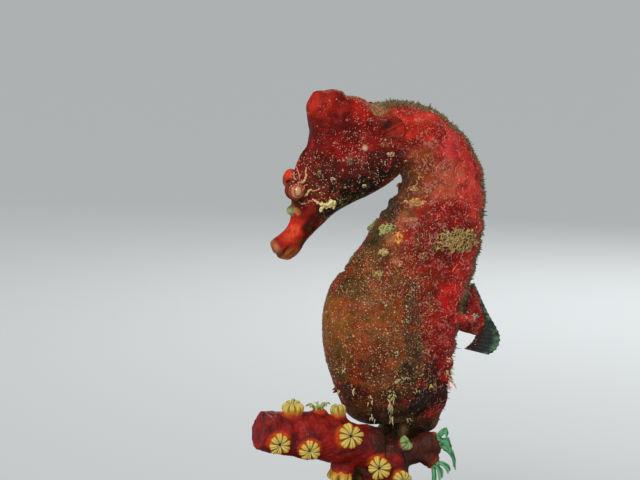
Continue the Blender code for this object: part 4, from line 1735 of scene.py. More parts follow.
IN_HEAD, IN_BODY, ONE_SIDE = Frame.HEAD, Frame.BODY, Frame.ONE_SIDE
# The darkest patches here, under the chin, the snout and the throat and low on the cheek, are partly painted
# shade and partly the skin's own dark colour; the brightest patch on the snout's upper side is partly painted
# highlight.
HEAD_WASHES = (
    (10, 0, 2, 17, 9, 10, 106, 13, 8, 0.92), (8.6, 0, 16, 5.4, 7, 3.2, 166, 32, 15, 0.75, 0.5),
    (7.8, 0, 17, 3.6, 7, 1.8, 164, 34, 16, 0.75, 0.5), (11.6, 2, 13.8, 2.8, 4, 2, 92, 18, 10, 0.88, 0.5),
    (3.8, 0, 13.8, 2.8, 6, 2.6, 112, 15, 8, 0.85), (7.4, 3.2, 10.8, 3.2, 3, 3.2, 94, 12, 7, 0.88, 0.6),
    (13, 2, 11.4, 3.2, 4, 2, 98, 14, 10, 0.85, 0.5), (2.6, 3, 9.6, 2.4, 3, 2.2, 174, 28, 16, 0.85, 0.5),
    (10.4, 4, 6.4, 2.4, 3, 3.8, 134, 13, 8, 0.85, 0.5), (7.4, 3.8, 8, 1.8, 3, 1.8, 84, 11, 6, 0.85, 0.5),
    (16, 2, 9, 3, 4, 3, 84, 14, 9, 0.85), (15.8, 3.4, 5.6, 3, 3, 2.4, 62, 18, 9, 0.85, 0.5),
    (12.6, 5, 2.2, 4.5, 4, 2.4, 64, 15, 8, 0.85, 0.5), (7.4, 5.2, 1.6, 2.8, 3, 2.4, 58, 13, 7, 0.88, 0.5),
    (14.6, 4.4, -0.4, 6.4, 5, 2.8, 22, 13, 7, 0.95, 0.5), (16.6, 4.2, 1.6, 2.8, 3, 2, 24, 15, 7, 0.92, 0.4),
    (8.6, 4, -3.2, 6, 6, 2.8, 26, 13, 7, 0.94), (16, 1.5, -3, 8, 4.5, 2.4, 22, 18, 8, 0.95),
    (20.2, 2.6, -0.4, 3.6, 4, 2.4, 34, 20, 9, 0.92, 0.5), (28.2, 0, 1.2, 4, 3.4, 2.6, 190, 42, 22, 0.97),
    (28.6, 1.2, 1.2, 2.2, 1.6, 1, 212, 68, 40, 0.8), (27.2, 0, 2.4, 2, 1.4, 0.8, 178, 32, 16, 0.8),
    (25.2, 2.4, -0.6, 2, 3, 1.8, 56, 14, 8, 0.92), (27.4, 1.8, -2.3, 2.6, 3.6, 1.2, 94, 20, 12, 0.9),
    (26.4, 0, -3.4, 4.5, 3, 1.2, 60, 20, 12, 0.9), (33.4, 0, 1, 1.5, 3, 2.3, 168, 106, 66, 0.95),
    (32.2, 0, -2, 2.6, 5, 1.7, 160, 90, 40, 0.92, 0.2), (21.2, 3.6, 6, 3.6, 3, 3.2, 72, 20, 11, 0.88),
    (23.7, 1.8, 5, 1.2, 1.5, 0.8, 30, 14, 10, 0.95, 0.15),
    (25.8, 0, 4.1, 1.4, 1.5, 1.3, 160, 166, 118, 1, 0.1),
    (25.1, 1.5, 3.3, 0.7, 0.8, 0.9, 190, 124, 72, 0.9, 0.1),
    (0, 5, 3.2, 3.4, 4.4, 3.4, 112, 44, 22, 0.85, 0.5), (0.2, 5.4, 0.8, 2.4, 3, 1.8, 140, 30, 12, 0.8, 0.5),
    (1.2, 5, 5.2, 1.2, 4, 1, 44, 24, 26, 0.85, 0.2), (0.2, 5.6, 3.2, 1.1, 4, 1, 44, 26, 24, 0.85, 0.2),
    (7.4, 4.7, 4.4, 0.6, 0.8, 0.6, 214, 170, 140, 0.9, 0.25),
    (11.2, 4.4, 4.5, 0.8, 0.8, 0.7, 108, 92, 66, 0.7, 0.2),
)
# The dark crescent under the far eye's ball is painted shade, in the gap between the ball and its lower lid.
FAR_EYE_WASHES = (
    (21.4, 1.5, 8.9, 1.1, 1.1, 1.1, 200, 54, 22, 1, 0.05),
    (22.5, 0.8, 8.1, 0.75, 1, 0.6, 34, 15, 10, 0.95, 0.1),
    (23.1, 1.1, 7.8, 0.6, 0.8, 0.5, 184, 58, 28, 0.95, 0.1),
    (23.4, 0.8, 7.2, 0.5, 0.9, 0.3, 206, 156, 112, 0.9, 0.1),
)
# The darkest patches here are partly painted shade and partly the skin's own dark colour: along the front
# edge of the trunk, under the pouch, at the tail's root, and in the gap between the trunk and the back fin.
BODY_WASHES = (
    (6, 4, 101, 10, 8, 5.5, 182, 36, 22, 0.92), (3.8, 5.4, 101.6, 2.6, 2.6, 1.8, 194, 62, 40, 0.7, 0.5),
    (6.4, 5.6, 97.4, 4.2, 4, 3.2, 166, 30, 14, 0.85, 0.5), (9.6, 5.6, 95.2, 3, 4, 4, 182, 46, 46, 0.85, 0.6),
    (3.4, 5, 92.4, 3.4, 6, 4.6, 142, 58, 26, 0.88, 0.5), (0.6, 2.5, 87, 3.8, 6, 7, 96, 54, 22, 0.9, 0.5),
    (-1.4, 4, 93, 1.8, 3, 2.4, 66, 20, 12, 0.7), (0.6, 4, 102.6, 2, 3, 1.6, 142, 22, 13, 0.85, 0.5),
    (-4.8, 1.5, 103.2, 2.2, 3.2, 1.8, 130, 76, 48, 0.85),
    (-2.3, 2, 103.8, 1.3, 3.4, 1.4, 196, 60, 26, 0.8, 0.1), (14.5, 3, 89, 5, 7, 9, 182, 40, 32, 0.92),
    (8.6, 6.4, 88.8, 4.6, 5, 4.2, 166, 74, 48, 0.8, 0.5),
    (12.4, 6.2, 86.8, 2.8, 4, 3.4, 212, 62, 50, 0.85, 0.5),
    (15.2, 4.6, 81.8, 3, 4, 4, 198, 48, 34, 0.88, 0.5), (6.8, 7, 82.6, 6, 5, 2, 132, 12, 7, 0.92, 0.5),
    (5, 7.4, 79.4, 4.6, 5, 2.6, 98, 13, 7, 0.92, 0.5), (13, 6, 79.9, 3, 4, 1.4, 112, 16, 10, 0.8, 0.5),
    (5.6, 7.4, 75, 5.4, 5, 3.2, 92, 12, 7, 0.92, 0.5), (12.6, 6, 71.4, 4, 5, 4, 172, 18, 12, 0.88, 0.5),
    (3.6, 7.8, 68, 4.4, 4, 4.4, 114, 24, 9, 0.9, 0.6), (-1.6, 5, 81.6, 2, 4, 3, 150, 76, 42, 0.8, 0.6),
    (-4.4, 4, 77, 4, 6, 4.4, 92, 60, 26, 0.88, 0.5), (-3.4, 5.8, 78.4, 1.2, 2, 1.8, 176, 118, 66, 0.7, 0.5),
    (-2.2, 1.6, 83.2, 2.4, 3, 4, 34, 36, 23, 0.9, 0.5), (-6, 1.8, 78.4, 2.8, 3.2, 3.6, 52, 46, 24, 0.9, 0.5),
    (-9, 3.4, 74.4, 3.2, 4.4, 2.8, 66, 50, 22, 0.9, 0.5),
    (-11.8, 2.4, 71.2, 2.6, 4, 2.2, 62, 42, 17, 0.88, 0.4),
    (-4.8, 6.4, 75.4, 1.8, 2.4, 1.8, 94, 42, 16, 0.8, 0.5),
    (-7, 4.8, 72.4, 3.6, 5, 2.8, 66, 40, 15, 0.9, 0.5), (-2, 7.4, 72, 3, 4, 2.4, 126, 44, 17, 0.85, 0.6),
    (-7.5, 6, 59, 9.5, 12, 14, 124, 62, 22, 0.96), (-14, 3, 61, 3, 7, 8, 132, 80, 26, 0.85, 0.5),
    (-13.8, 3.2, 53, 3.6, 7, 3.8, 80, 46, 14, 0.88, 0.5),
    (-11.4, 4.6, 68.6, 4, 5.4, 2.8, 66, 40, 14, 0.9, 0.5),
    (-9.6, 8, 64.6, 3.4, 4, 2.6, 118, 60, 26, 0.8, 0.5), (-3.4, 8, 69, 3.4, 4, 2.6, 98, 38, 14, 0.88, 0.6),
    (-9.4, 8.2, 59.4, 2.8, 4, 3, 134, 58, 20, 0.7, 0.6), (-7, 9.2, 56.4, 3.8, 4.5, 3, 88, 36, 12, 0.85, 0.6),
    (-3.2, 9.4, 61, 2.6, 4, 3.4, 108, 56, 26, 0.8, 0.6), (0.2, 9, 59.5, 2.5, 6, 10, 66, 44, 32, 0.9, 0.7),
    (-1.2, 8.8, 51.6, 3, 4, 3, 28, 26, 14, 0.92, 0.5), (7.6, 6.8, 60.5, 4.2, 7, 6.5, 150, 16, 10, 0.96, 0.45),
    (9, 6.6, 65.6, 3.2, 5, 3.4, 196, 20, 16, 0.9, 0.5), (6.6, 5.5, 54.2, 3, 6, 2.8, 106, 12, 8, 0.9, 0.5),
    (-9.6, 7.6, 52.4, 3.4, 5, 2.2, 82, 28, 10, 0.88, 0.6),
    (-5.4, 8.6, 51.8, 2.4, 5, 2.4, 84, 46, 26, 0.8, 0.6), (-11, 5, 47.6, 4, 6, 2.6, 46, 17, 7, 0.9, 0.5),
    (-3, 7, 47.6, 5, 6, 2.2, 52, 32, 16, 0.9, 0.5), (4.6, 6.4, 51, 3.2, 6, 3, 44, 13, 8, 0.92, 0.5),
    (7, 3.5, 46.5, 5, 7, 3.6, 30, 14, 8, 0.95, 0.4), (2.6, 6.6, 46.2, 3.4, 4, 2.6, 18, 12, 7, 0.94, 0.4),
    (14.4, 0.6, 63.6, 1.3, 2.6, 3.6, 80, 36, 38, 0.85, 0.4), (18, 0, 62, 1.8, 3, 6, 136, 24, 17, 0.85, 0.4),
    (16.8, 0, 57.4, 3.2, 3, 2, 82, 24, 15, 0.88, 0.4), (13.4, 4.6, 61, 2.6, 1.3, 1.4, 176, 44, 28, 0.85, 0.3),
    (15.2, 5.1, 61.2, 0.8, 1, 1, 170, 180, 178, 0.9, 0.2),
    (-8.4, 4.5, 44.6, 3.4, 6, 2, 76, 36, 13, 0.88, 0.5), (-3, 5.5, 44, 3.6, 5, 1.8, 56, 44, 26, 0.88, 0.5),
    (1.6, 4, 43.4, 3.6, 6, 2.8, 20, 18, 11, 0.94, 0.4), (-9, 4, 43, 4.6, 7, 3.2, 74, 44, 18, 0.9, 0.4),
    (-4, 6, 42.6, 4, 7, 2.8, 44, 30, 15, 0.9, 0.4), (-3, 2, 41, 9, 7, 2, 22, 18, 10, 0.94),
)
WASHES = tuple(
    Wash.read(where, *row)
    for where, rows in ((IN_HEAD, HEAD_WASHES), (ONE_SIDE, FAR_EYE_WASHES), (IN_BODY, BODY_WASHES))
    for row in rows
)
HEAD_KNOBS = (
    ((7.4, 4.7, 4.4), 0.65, 0.45), ((11.2, 4.4, 4.5), 0.6, 0.25), ((16.5, 3.2, 6.4), 1.2, 0.4),
    ((0.2, 4.9, 2.6), 2.4, 0.7), ((20.2, 2.6, 9.4), 1.1, 0.5), ((9.6, 1.6, 17.2), 1.0, 0.35),
    ((3.2, 1.6, 16.2), 1.0, 0.35), ((12.5, 2.4, 13.6), 1.1, 0.35),
)
BODY_KNOBS = (
    ((0.7, 4.7, 93.5), 1.0, 0.55), ((2.3, 2.5, 89.9), 1.0, 0.6), ((2.1, 2.9, 87.0), 1.0, 0.6),
    ((0.5, 3.3, 84.1), 1.0, 0.65), ((-1.2, 3.9, 81.7), 1.0, 0.6), ((-3.4, 4.1, 78.5), 1.0, 0.7),
    ((-4.7, 5.5, 74.4), 1.0, 0.75), ((-2.1, 7.2, 73.0), 1.0, 0.5), ((-6.1, 5.9, 71.0), 1.0, 0.5),
    ((9.1, 5.3, 55.5), 1.0, 0.6), ((9.8, 4.5, 52.3), 1.0, 0.6), ((8.8, 4.6, 49.4), 1.0, 0.6),
    ((15.2, 4.4, 76.0), 1.0, 0.5), ((14.4, 5.2, 69.0), 1.0, 0.5),
)
KNOBS = tuple(
    Knob(where, *row) for where, rows in ((IN_HEAD, HEAD_KNOBS), (IN_BODY, BODY_KNOBS)) for row in rows
)
FURROWS = (
    Furrow(IN_HEAD, ((2.9, 3.2, 6.6), (4.6, 5.2, 3.6), (4.4, 5.8, 0.4), (2.0, 5.4, -2.6)), 0.5, 0.35),
    Furrow(IN_HEAD, ((24.4, 1.6, 4.9), (23.4, 2.6, 4.6), (21.9, 3.4, 4.6)), 0.4, 0.4),
    Furrow(IN_HEAD, ((26.0, 2.4, 0.6), (22.0, 3.4, 2.4), (17.5, 4.4, 3.4)), 0.5, -0.18),
    Furrow(IN_HEAD, ((19.4, 2.4, 7.9), (17.6, 3.2, 7.6), (15.4, 3.6, 7.8)), 0.4, 0.16),
    Furrow(IN_BODY, ((-10.5, 1.0, 71.6), (-9.4, 5.0, 69.6), (-6.0, 7.6, 68.6)), 0.5, 0.35),
    Furrow(IN_BODY, ((-12.0, 2.0, 69.6), (-10.2, 6.0, 67.4)), 0.4, 0.25),
    Furrow(IN_BODY, ((3.2, 7.4, 70.0), (3.2, 8.4, 62.0), (3.6, 7.8, 52.0)), 1.1, 0.35),
)


# ---------------------------------------------------------------- eyes and fins


@dataclass
class Eyes:
    """The two glassy eyes, each with a low clear bulge over its iris.

    Attributes:
        gaze: Where the right one looks, in the head's frame.
        slant: The long way of their oval middles, in the head's frame.
        rings, around: How many rings of points an eye has, and points a ring.
    """

    head: Head
    radius: float = 1.42
    bulge: float = 0.16
    gaze: Triple = (-0.2, 1.0, 0.2)
    slant: Triple = (-0.68, 0.0, 0.73)
    rings: int = 56
    around: int = 72

    def make(self) -> None:
        """Builds the piece that replaces each eye's node."""
        finish = EyeFinish().material()
        for side, name in ((-1, "left"), (1, "right")):
            middle = self.head.point(self.head.eye_middle(side, self.head.eye_place[1]))
            facing = unit(self.gaze * np.array((1, side, 1)) @ self.head.axes())
            shape = self.eyeball(middle, facing)
            piece = shape.to_object(f"eyeball_{name}", "eye", finish)
            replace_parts(piece, f"eye_{name}")

    def eyeball(self, middle: Array, facing: Array) -> Shape:
        """One eye, marked with how far out from its middle each point lies, and how far round.

        Args:
            middle: The eye's middle.
            facing: Where it looks.

        Returns:
            The eye.
        """
        tilt = np.radians(np.linspace(0.5, 179.5, self.rings))[:, None]
        around = circle(self.around)[None, :]
        across = unit(np.cross(facing, ASKEW))
        other = np.cross(facing, across)
        reach = self.radius + self.bulge * bell(np.degrees(tilt), 26)
        ring = np.cos(around)[..., None] * across + np.sin(around)[..., None] * other
        points = middle + reach[..., None] * (
            np.cos(tilt)[..., None] * facing + np.sin(tilt)[..., None] * ring
        )
        shape = loft(points[::-1])
        level = (ring @ unit(np.cross(facing, self.slant @ self.head.axes()))) ** 2
        oval = tilt / math.radians(95) * (1 + 0.75 * level * bell(tilt, 0.9))
        shape.marks = {
            "out": np.clip(oval[::-1].ravel(), 0, 1),
            "round": np.broadcast_to(around / math.tau, points.shape[:2])[::-1].ravel(),
        }
        return shape


@dataclass
class Fins:
    """The thin webs: the back fin's, the two behind the gills, and the tiny one at the vent.

    Attributes:
        dorsal_root, dorsal_edge: x and z along the back fin's root and its free edge.
        dorsal_steps, across: How many points the back fin has along its root, and any from root to edge.
        wave: How far a free edge waves to either side.
        weedy, rusty: The finishes of the back fin's web and of the one at the vent.
    """

    skin: Skin
    dorsal_root: tuple = ((15.2, 66.6), (16.6, 63.8), (17.4, 61.2), (17.8, 58.4), (17.0, 55.6), (15.0, 54.0))
    dorsal_edge: tuple = (
        (17.0, 67.3), (18.4, 64.6), (19.9, 61.3), (21.6, 58.4), (22.9, 55.3), (22.1, 53.3), (20.3, 52.4),
    )
    dorsal_rays: int = 17
    dorsal_steps: int = 240
    across: int = 30
    wave: float = 0.35
    weedy: FinFinish = FinFinish(
        "green_fin", paint(14, 38, 36), paint(34, 50, 40), paint(58, 30, 24), clear=0.12
    )
    rusty: FinFinish = FinFinish("rusty_fin", paint(120, 62, 40), paint(92, 50, 38), paint(132, 66, 46))

    def web(
        self, roots: Array, tips: Array, thick: tuple[float, float], rays: int, ripple: Array
    ) -> Shape:
        """A thin web between a root line and an edge, ribbed by rays.

        Args:
            roots: Points along the root.
            tips: As many points along the free edge.
            thick: The thickness at the root and at the edge.
            rays: How many rays stiffen it.
            ripple: The direction in which the edge waves a little.

        Returns:
            The web, with the marks ray, fleshy and rim.
        """
        share = np.linspace(0, 1, self.across)
        places = np.linspace(0, 1, len(roots))
        beat = np.cos(places * math.tau * rays)
        ray = eased(beat, 0.35, 0.95)[:, None] * eased(share, 1.0, 0.85)[None, :]
        sheet = roots[:, None] + (tips - roots)[:, None] * share[None, :, None]
        notch = 0.02 * (1 - beat)[:, None] * eased(share, 0.6, 1.0)[None, :]
        sheet -= (tips - roots)[:, None] * notch[..., None]
        lean = self.wave * np.sin(places * 9.0)[:, None] * share[None, :] ** 2
        sheet += lean[..., None] * ripple
        ahead = np.gradient(sheet, axis=0)
        facing = unit(np.cross(ahead, np.gradient(sheet, axis=1)))
        half = (thick[0] + (thick[1] - thick[0]) * share[None, :] ** 0.6) / 2
        half = half * (0.6 + 0.4 * ray) + 0.07 * ray
        near, far = sheet - facing * half[..., None], sheet + facing * half[..., None]
        shape = loft(np.concatenate([near, far[:, ::-1]], axis=1))
        fleshy = np.broadcast_to(eased(share, 0.4, 0.08)[None, :], ray.shape)
        # Where the free edge's pale green, partly painted highlight, goes.
        rim = np.broadcast_to(eased(share, 0.6, 0.9)[None, :], ray.shape)
        shape.marks = {
            name: np.concatenate([values, values[:, ::-1]], axis=1).ravel()
            for name, values in (("ray", ray), ("fleshy", fleshy), ("rim", rim))
        }
        return shape

    def dorsal(self) -> Shape:
        """The back fin's web, swept down from its fleshy root.

        Returns:
            The web.
        """
        lines = (Curve(self.flat(self.dorsal_root)), Curve(self.flat(self.dorsal_edge)))
        root, edge = (line(line.spread(self.dorsal_steps)) for line in lines)
        return self.web(root, edge, (0.7, 0.3), self.dorsal_rays, SIDE)

    @staticmethod
    def flat(places: tuple) -> Array:
        """Places given by x and z, as points of the middle plane."""
        return np.array([(x, 0.0, z) for x, z in places])

    def gill_fin(self, side: int) -> Shape:
        """The small folded fin behind a gill.

        Args:
            side: Left (-1) or right (1).

        Returns:
            The fin.
        """
        share, head = np.linspace(0, 1, 130), self.skin.head
        turn = np.radians(40 - 110 * share)
        roots = [head.point((3.4 - 0.5 * k, side * 5.1, 5.6 - 2.5 * k)) for k in share]
        tips = [head.point((2.0 - 3.4 * math.cos(a), side * 6.6, 4.1 + 3.0 * math.sin(a))) for a in turn]
        out = side * head.axes()[1]
        shape = self.web(np.array(roots), np.array(tips), (0.7, 0.4), 2, out)
        size = len(shape.points)
        shape.marks = {
            "tint": self.skin.washed(shape.points),
            "lace": np.zeros(size),
            "dots": np.full(size, 0.3),
        }
        return shape

    def vent_fin(self) -> Shape:
        """The tiny fin in the fold over the pouch.

        Returns:
            The fin.
        """
        share = np.linspace(0, 1, 60)
        turn = np.radians(115 + 70 * share)
        roots = np.stack([-8.4 - 1.2 * share, 0 * share, 73.2 - 1.6 * share], axis=1)
        tips = roots + 1.3 * np.stack([np.cos(turn), 0 * turn, np.sin(turn)], axis=1)
        return self.web(roots, tips, (0.5, 0.26), 4, SIDE)

    def make(self) -> None:
        """Builds a piece for each fin's node."""
        weedy, rusty = self.weedy.material(), self.rusty.material()
        fleshy = SkinFinish().material()
        pieces = (
            ("back_fin_web", "dorsal_fin", self.dorsal(), weedy),
            ("gill_fin_left", "pectoral_fin_left", self.gill_fin(-1), fleshy),
            ("gill_fin_right", "pectoral_fin_right", self.gill_fin(1), fleshy),
            ("vent_fin_web", "anal_fin", self.vent_fin(), rusty),
        )
        for name, node, shape, dress in pieces:
            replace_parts(shape.to_object(name, "fin", dress), node)


# ---------------------------------------------------------------- small growths on the skin


class Ground:
    """The finished skin as the surface that small growths stand on."""

    def __init__(self, skin: Shape, head: Head, body: Body) -> None:
        """Keeps a search tree of the skin, and the frames that places are given in."""
        self.skin, self.head, self.body = skin, head, body
        self.tree = skin.tree()

    def drop(self, points: Array) -> tuple[Array, Array]:
        """The nearest place on the skin to each point, and the direction out of it there."""
        hits = [self.tree.find_nearest(point) for point in np.atleast_2d(points).tolist()]
        return np.array([hit[0] for hit in hits]), np.array([hit[1] for hit in hits])

    def foot(self, point: Array) -> tuple[Array, Array]:
        """The same for one point."""
        places, ups = self.drop(point)
        return places[0], ups[0]

    def place(self, where: Frame, at: Array, side: int) -> Array:
        """A place given in a frame with both sides alike, on the left (-1) or right (1) side.

        Args:
            where: The frame.
            at: The place in it.
            side: Left (-1) or right (1).

        Returns:
            The point.
        """
        at = np.asarray(at, float)
        if where is not Frame.ONE_SIDE:
            at = at * (1, side, 1)
        return at if where is Frame.BODY else self.head.point(at)

    def unwrapped(self, points: Array) -> Array:
        """Each point's place on an unwrap of the skin's own shape, in a unit square.

        Args:
            points: The points.

        Returns:
            Two numbers from 0 to 1 for each point.
        """
        head = self.head.read(points)
        at_head = np.stack([(head[:, 0] + 8) / 43, np.arctan2(head[:, 1], head[:, 2] - 2) / math.tau + 0.5])
        line = self.body.line()
        places = line.at[0] + (line.at[-1] - line.at[0]) * np.linspace(0, 1, 400)
        rows = line(places)
        nearest = np.linalg.norm(points[:, None] - rows[None, :, :3], axis=2).argmin(axis=1)
        off = points - rows[nearest, :3]
        back = (off * unit(rows[nearest, 3:6])).sum(axis=1)
        aside = (off * unit(rows[nearest, 6:9])).sum(axis=1)
        at_body = np.stack([nearest / 400, np.arctan2(aside, back) / math.tau + 0.5])
        on_head = (head[:, 0] > 1)[None]
        at_head = at_head * [[0.3], [1]] + [[0.7], [0]]
        return 0.02 + 0.96 * np.where(on_head, at_head, at_body * [[0.68], [1]]).T


@dataclass(frozen=True)
class Coat:
    """A coat of many small bodies on the skin: how many, the range of their radii, of their height
    as a share of the radius, the palest colour, how far the skin's own gives way to it, and their lean."""

    name: str
    count: int
    radii: tuple[float, float]
    tall: tuple[float, float]
    light: Triple
    shares: tuple[float, float] = (0.25, 1.0)
    lean: float = 0.2


COATS = (
    Coat("face_papillae", 900, (0.05, 0.14), (0.4, 0.8), paint(226, 178, 152), (0.3, 1.0)),
    Coat("trunk_papillae", 3600, (0.04, 0.12), (0.4, 0.9), paint(214, 124, 100), (0.0, 0.75)),
    Coat("pouch_papillae", 6400, (0.045, 0.16), (0.6, 1.2), paint(204, 164, 108), (0.05, 0.95)),
    Coat("back_turf", 7600, (0.05, 0.11), (2.0, 5.2), paint(112, 124, 88), (0.3, 1.0), 0.45),
)


@dataclass
class Papillae:
    """Thousands of low, soft domes that roughen the skin, and a fuzz of turf along the back.

    Attributes:
        patch: How wide a small body's patch is on the map.
        profile: Rows of height and radius, as shares, from below the skin to the tip.
    """

    ground: Ground
    seed: int = 11
    sides: int = 6
    patch: float = 0.003
    profile: tuple = ((-0.5, 1.15), (0.55, 0.9), (1.0, 0.4))

    def bodies(self, roots: Array, ups: Array, radii: Array, heights: Array, lean: Array) -> Shape:
        """Many small turned bodies at once.

        Args:
            roots: Where each one stands.
            ups: Its direction.
            radii: Its radius at the foot.
            heights: How tall it is.
            lean: How far its tip is moved aside.

        Returns:
            All of them in one shape.
        """
        across = unit(np.cross(ups, ASKEW))
        other = np.cross(ups, across)
        angles = circle(self.sides)
        ring = np.cos(angles)[:, None, None] * across + np.sin(angles)[:, None, None] * other
        levels = []
        for height, share in self.profile:
            middle = roots + ups * (heights * height)[:, None] + lean * height**2
            levels.append(middle + ring * (radii * share)[:, None])
        points = np.stack(levels).transpose(2, 0, 1, 3)
        each = len(self.profile) * self.sides
        one = np.arange(each).reshape(len(self.profile), self.sides)
        starts = (np.arange(len(roots)) * each)[:, None, None]
        faces = [
            (starts + quads_round(one)).reshape(-1, 4),
            (starts[:, 0] + one[-1]).reshape(-1, self.sides),
        ]
        return Shape(points.reshape(-1, 3), faces)

    def thickness(self) -> dict[str, Array]:
        """How thickly each coat stands at each point of the skin.

        Returns:
            For each coat, a number for each point.
        """
        skin = self.ground.skin
        along, _, up = self.ground.head.read(skin.points).T
        x, _, z = skin.points.T
        length = skin.marks["length"]
        face = self.ground.head.face(along, up)
        pouch = eased(x, 6.5, 3) * eased(z, 77, 73) * (1 - face)
        trunk = (1 - face) * (1 - pouch) * eased(length, 150, 60)
        crowd = 0.12 + eased(lumps(skin.points, 3.2, 21) + 0.5 * lumps(skin.points, 1.2, 22), -0.25, 0.35)
        face = face * eased(along, 25, 22) * (0.15 + eased(up, 12, 9.5)) * (0.3 + eased(up, -3, 0.5))
        pouch = pouch * (0.5 + eased(x, -12, -5)) * (0.06 + eased(z, 45, 52))
        turf = eased(skin.marks["back"], 0.78, 0.93) * eased(length, 66, 48)
        turf = turf * (skin.marks["off_body"] < 0.6) * (0.4 + eased(lumps(skin.points, 2.2, 31), -0.4, 0.3))
        shares = (face * crowd**1.5, trunk * crowd, pouch * (0.35 + crowd), turf)
        return {coat.name: share for coat, share in zip(COATS, shares)}

    def coat(self, coat: Coat, share: Array, random: np.random.Generator) -> tuple[Shape, Array]:
        """The small bodies of one coat, and their roots.

        Args:
            coat: The coat.
            share: How thickly it stands at each point of the skin.
            random: Where the chance comes from.

        Returns:
            The bodies in one shape, and a root for each.
        """
        skin = self.ground.skin
        chosen = random.choice(len(skin.points), coat.count, replace=False, p=share / share.sum())
        ups = skin.normals()[chosen]
        roots = skin.points[chosen] + 0.12 * random.normal(size=(coat.count, 3))
        roots -= ups * ((roots - skin.points[chosen]) * ups).sum(axis=1, keepdims=True)
        small, large = coat.radii
        radii = small + (large - small) * random.random(coat.count) ** 1.8
        radii *= 1 + 0.9 * (random.random(coat.count) > 0.985)
        low, high = coat.tall
        heights = radii * (low + (high - low) * random.random(coat.count) ** 1.5)
        lean = coat.lean * heights[:, None] * random.normal(size=(coat.count, 3))
        shape = self.bodies(roots, ups, radii, heights, lean)
        least, most = coat.shares
        pale = least + (most - least) * random.random(coat.count)
        light = np.array(coat.light) * (0.75 + 0.4 * random.random((coat.count, 1)))
        tint = over(skin.marks["tint"][chosen], pale, light)
        shape.marks["tint"] = np.repeat(tint, len(self.profile) * self.sides, axis=0)
        return shape, roots

    def make(self) -> None:
        """Builds the coats, each with a map on which a small body has a patch at its root's place."""
        random = np.random.default_rng(self.seed)
        dress = TintedFinish("soft_papillae", 0.5).material()
        shares = self.thickness()
        for coat in COATS:
            shape, roots = self.coat(coat, shares[coat.name], random)
            piece = shape.to_object(coat.name, "trunk", dress)
            self.map_patches(piece, roots, len(shape.points) // len(roots))

    def map_patches(self, piece: bpy.types.Object, roots: Array, each: int) -> None:
        """Adds the map OFBake to a piece whose small bodies have the same number of points.

        Args:
            piece: The piece.
            roots: Where each body stands.
            each: How many points a body has.
        """
        corners = corner_points(piece.data)
        level, turn = np.divmod(np.arange(each), self.sides)
        reach = self.patch / 2 * (1 - 0.8 * level / max(level.max(), 1))
        angle = math.tau * turn / self.sides
        offsets = np.stack([np.cos(angle), np.sin(angle)], axis=1) * reach[:, None]
        places = self.ground.unwrapped(roots)[corners // each] + offsets[corners % each]
        layer = piece.data.uv_layers.new(name="OFBake")
        layer.data.foreach_set("uv", places.astype(np.float32).ravel())


@dataclass(frozen=True)
class Crust:
    """A patch of growth on the skin: its frame, middle, half width and height, the colours of its
    strands and of the gaps, the width of the lace's meshes or 0 for lumps, and how far it stands out."""

    where: Frame
    middle: Triple
    reach: tuple[float, float]
    light: Triple
    dark: Triple
    cell: float = 0.0
    height: float = 0.3

    @classmethod
    def read(cls, where: Frame, *row: float) -> "Crust":
        """Reads middle, reach, two colours as a screen shows them, cell and height from a row."""
        return cls(where, row[:3], row[3:5], paint(*row[5:8]), paint(*row[8:11]), *row[11:])


@dataclass(frozen=True)
class Strand:
    """A fleshy thread that lies on the skin: its frame, its points, radii at both ends, colour."""

    where: Frame
    path: tuple
    radii: tuple[float, float]
    colour: Triple


@dataclass(frozen=True)
class Tuft:
    """A tuft of soft threads: where it hangs, how long, how many, and how it falls and spreads."""

    root: Triple
    length: float
    count: int
    thick: float = 0.13
    fall: float = 0.8
    spread: float = 1.0
    colour: Triple = paint(224, 208, 156)

    @classmethod
    def read(cls, *row: float) -> "Tuft":
        """Reads the fields in their order from a row, with a colour as a screen shows it."""
        colour = (paint(*row[8:]),) if row[8:] else ()
        return cls(row[:3], *row[3:8], *colour)


@dataclass(frozen=True)
class Worms:
    """A crowd of short winding threads: its middle and reach in the body's frame, and colour."""

    middle: Triple
    reach: Triple
    count: int
    colour: Triple

    @classmethod
    def read(cls, *row: float) -> "Worms":
        """Reads the fields in their order from a row, with a colour as a screen shows it."""
        return cls(row[:3], row[3:6], row[6], paint(*row[7:]))


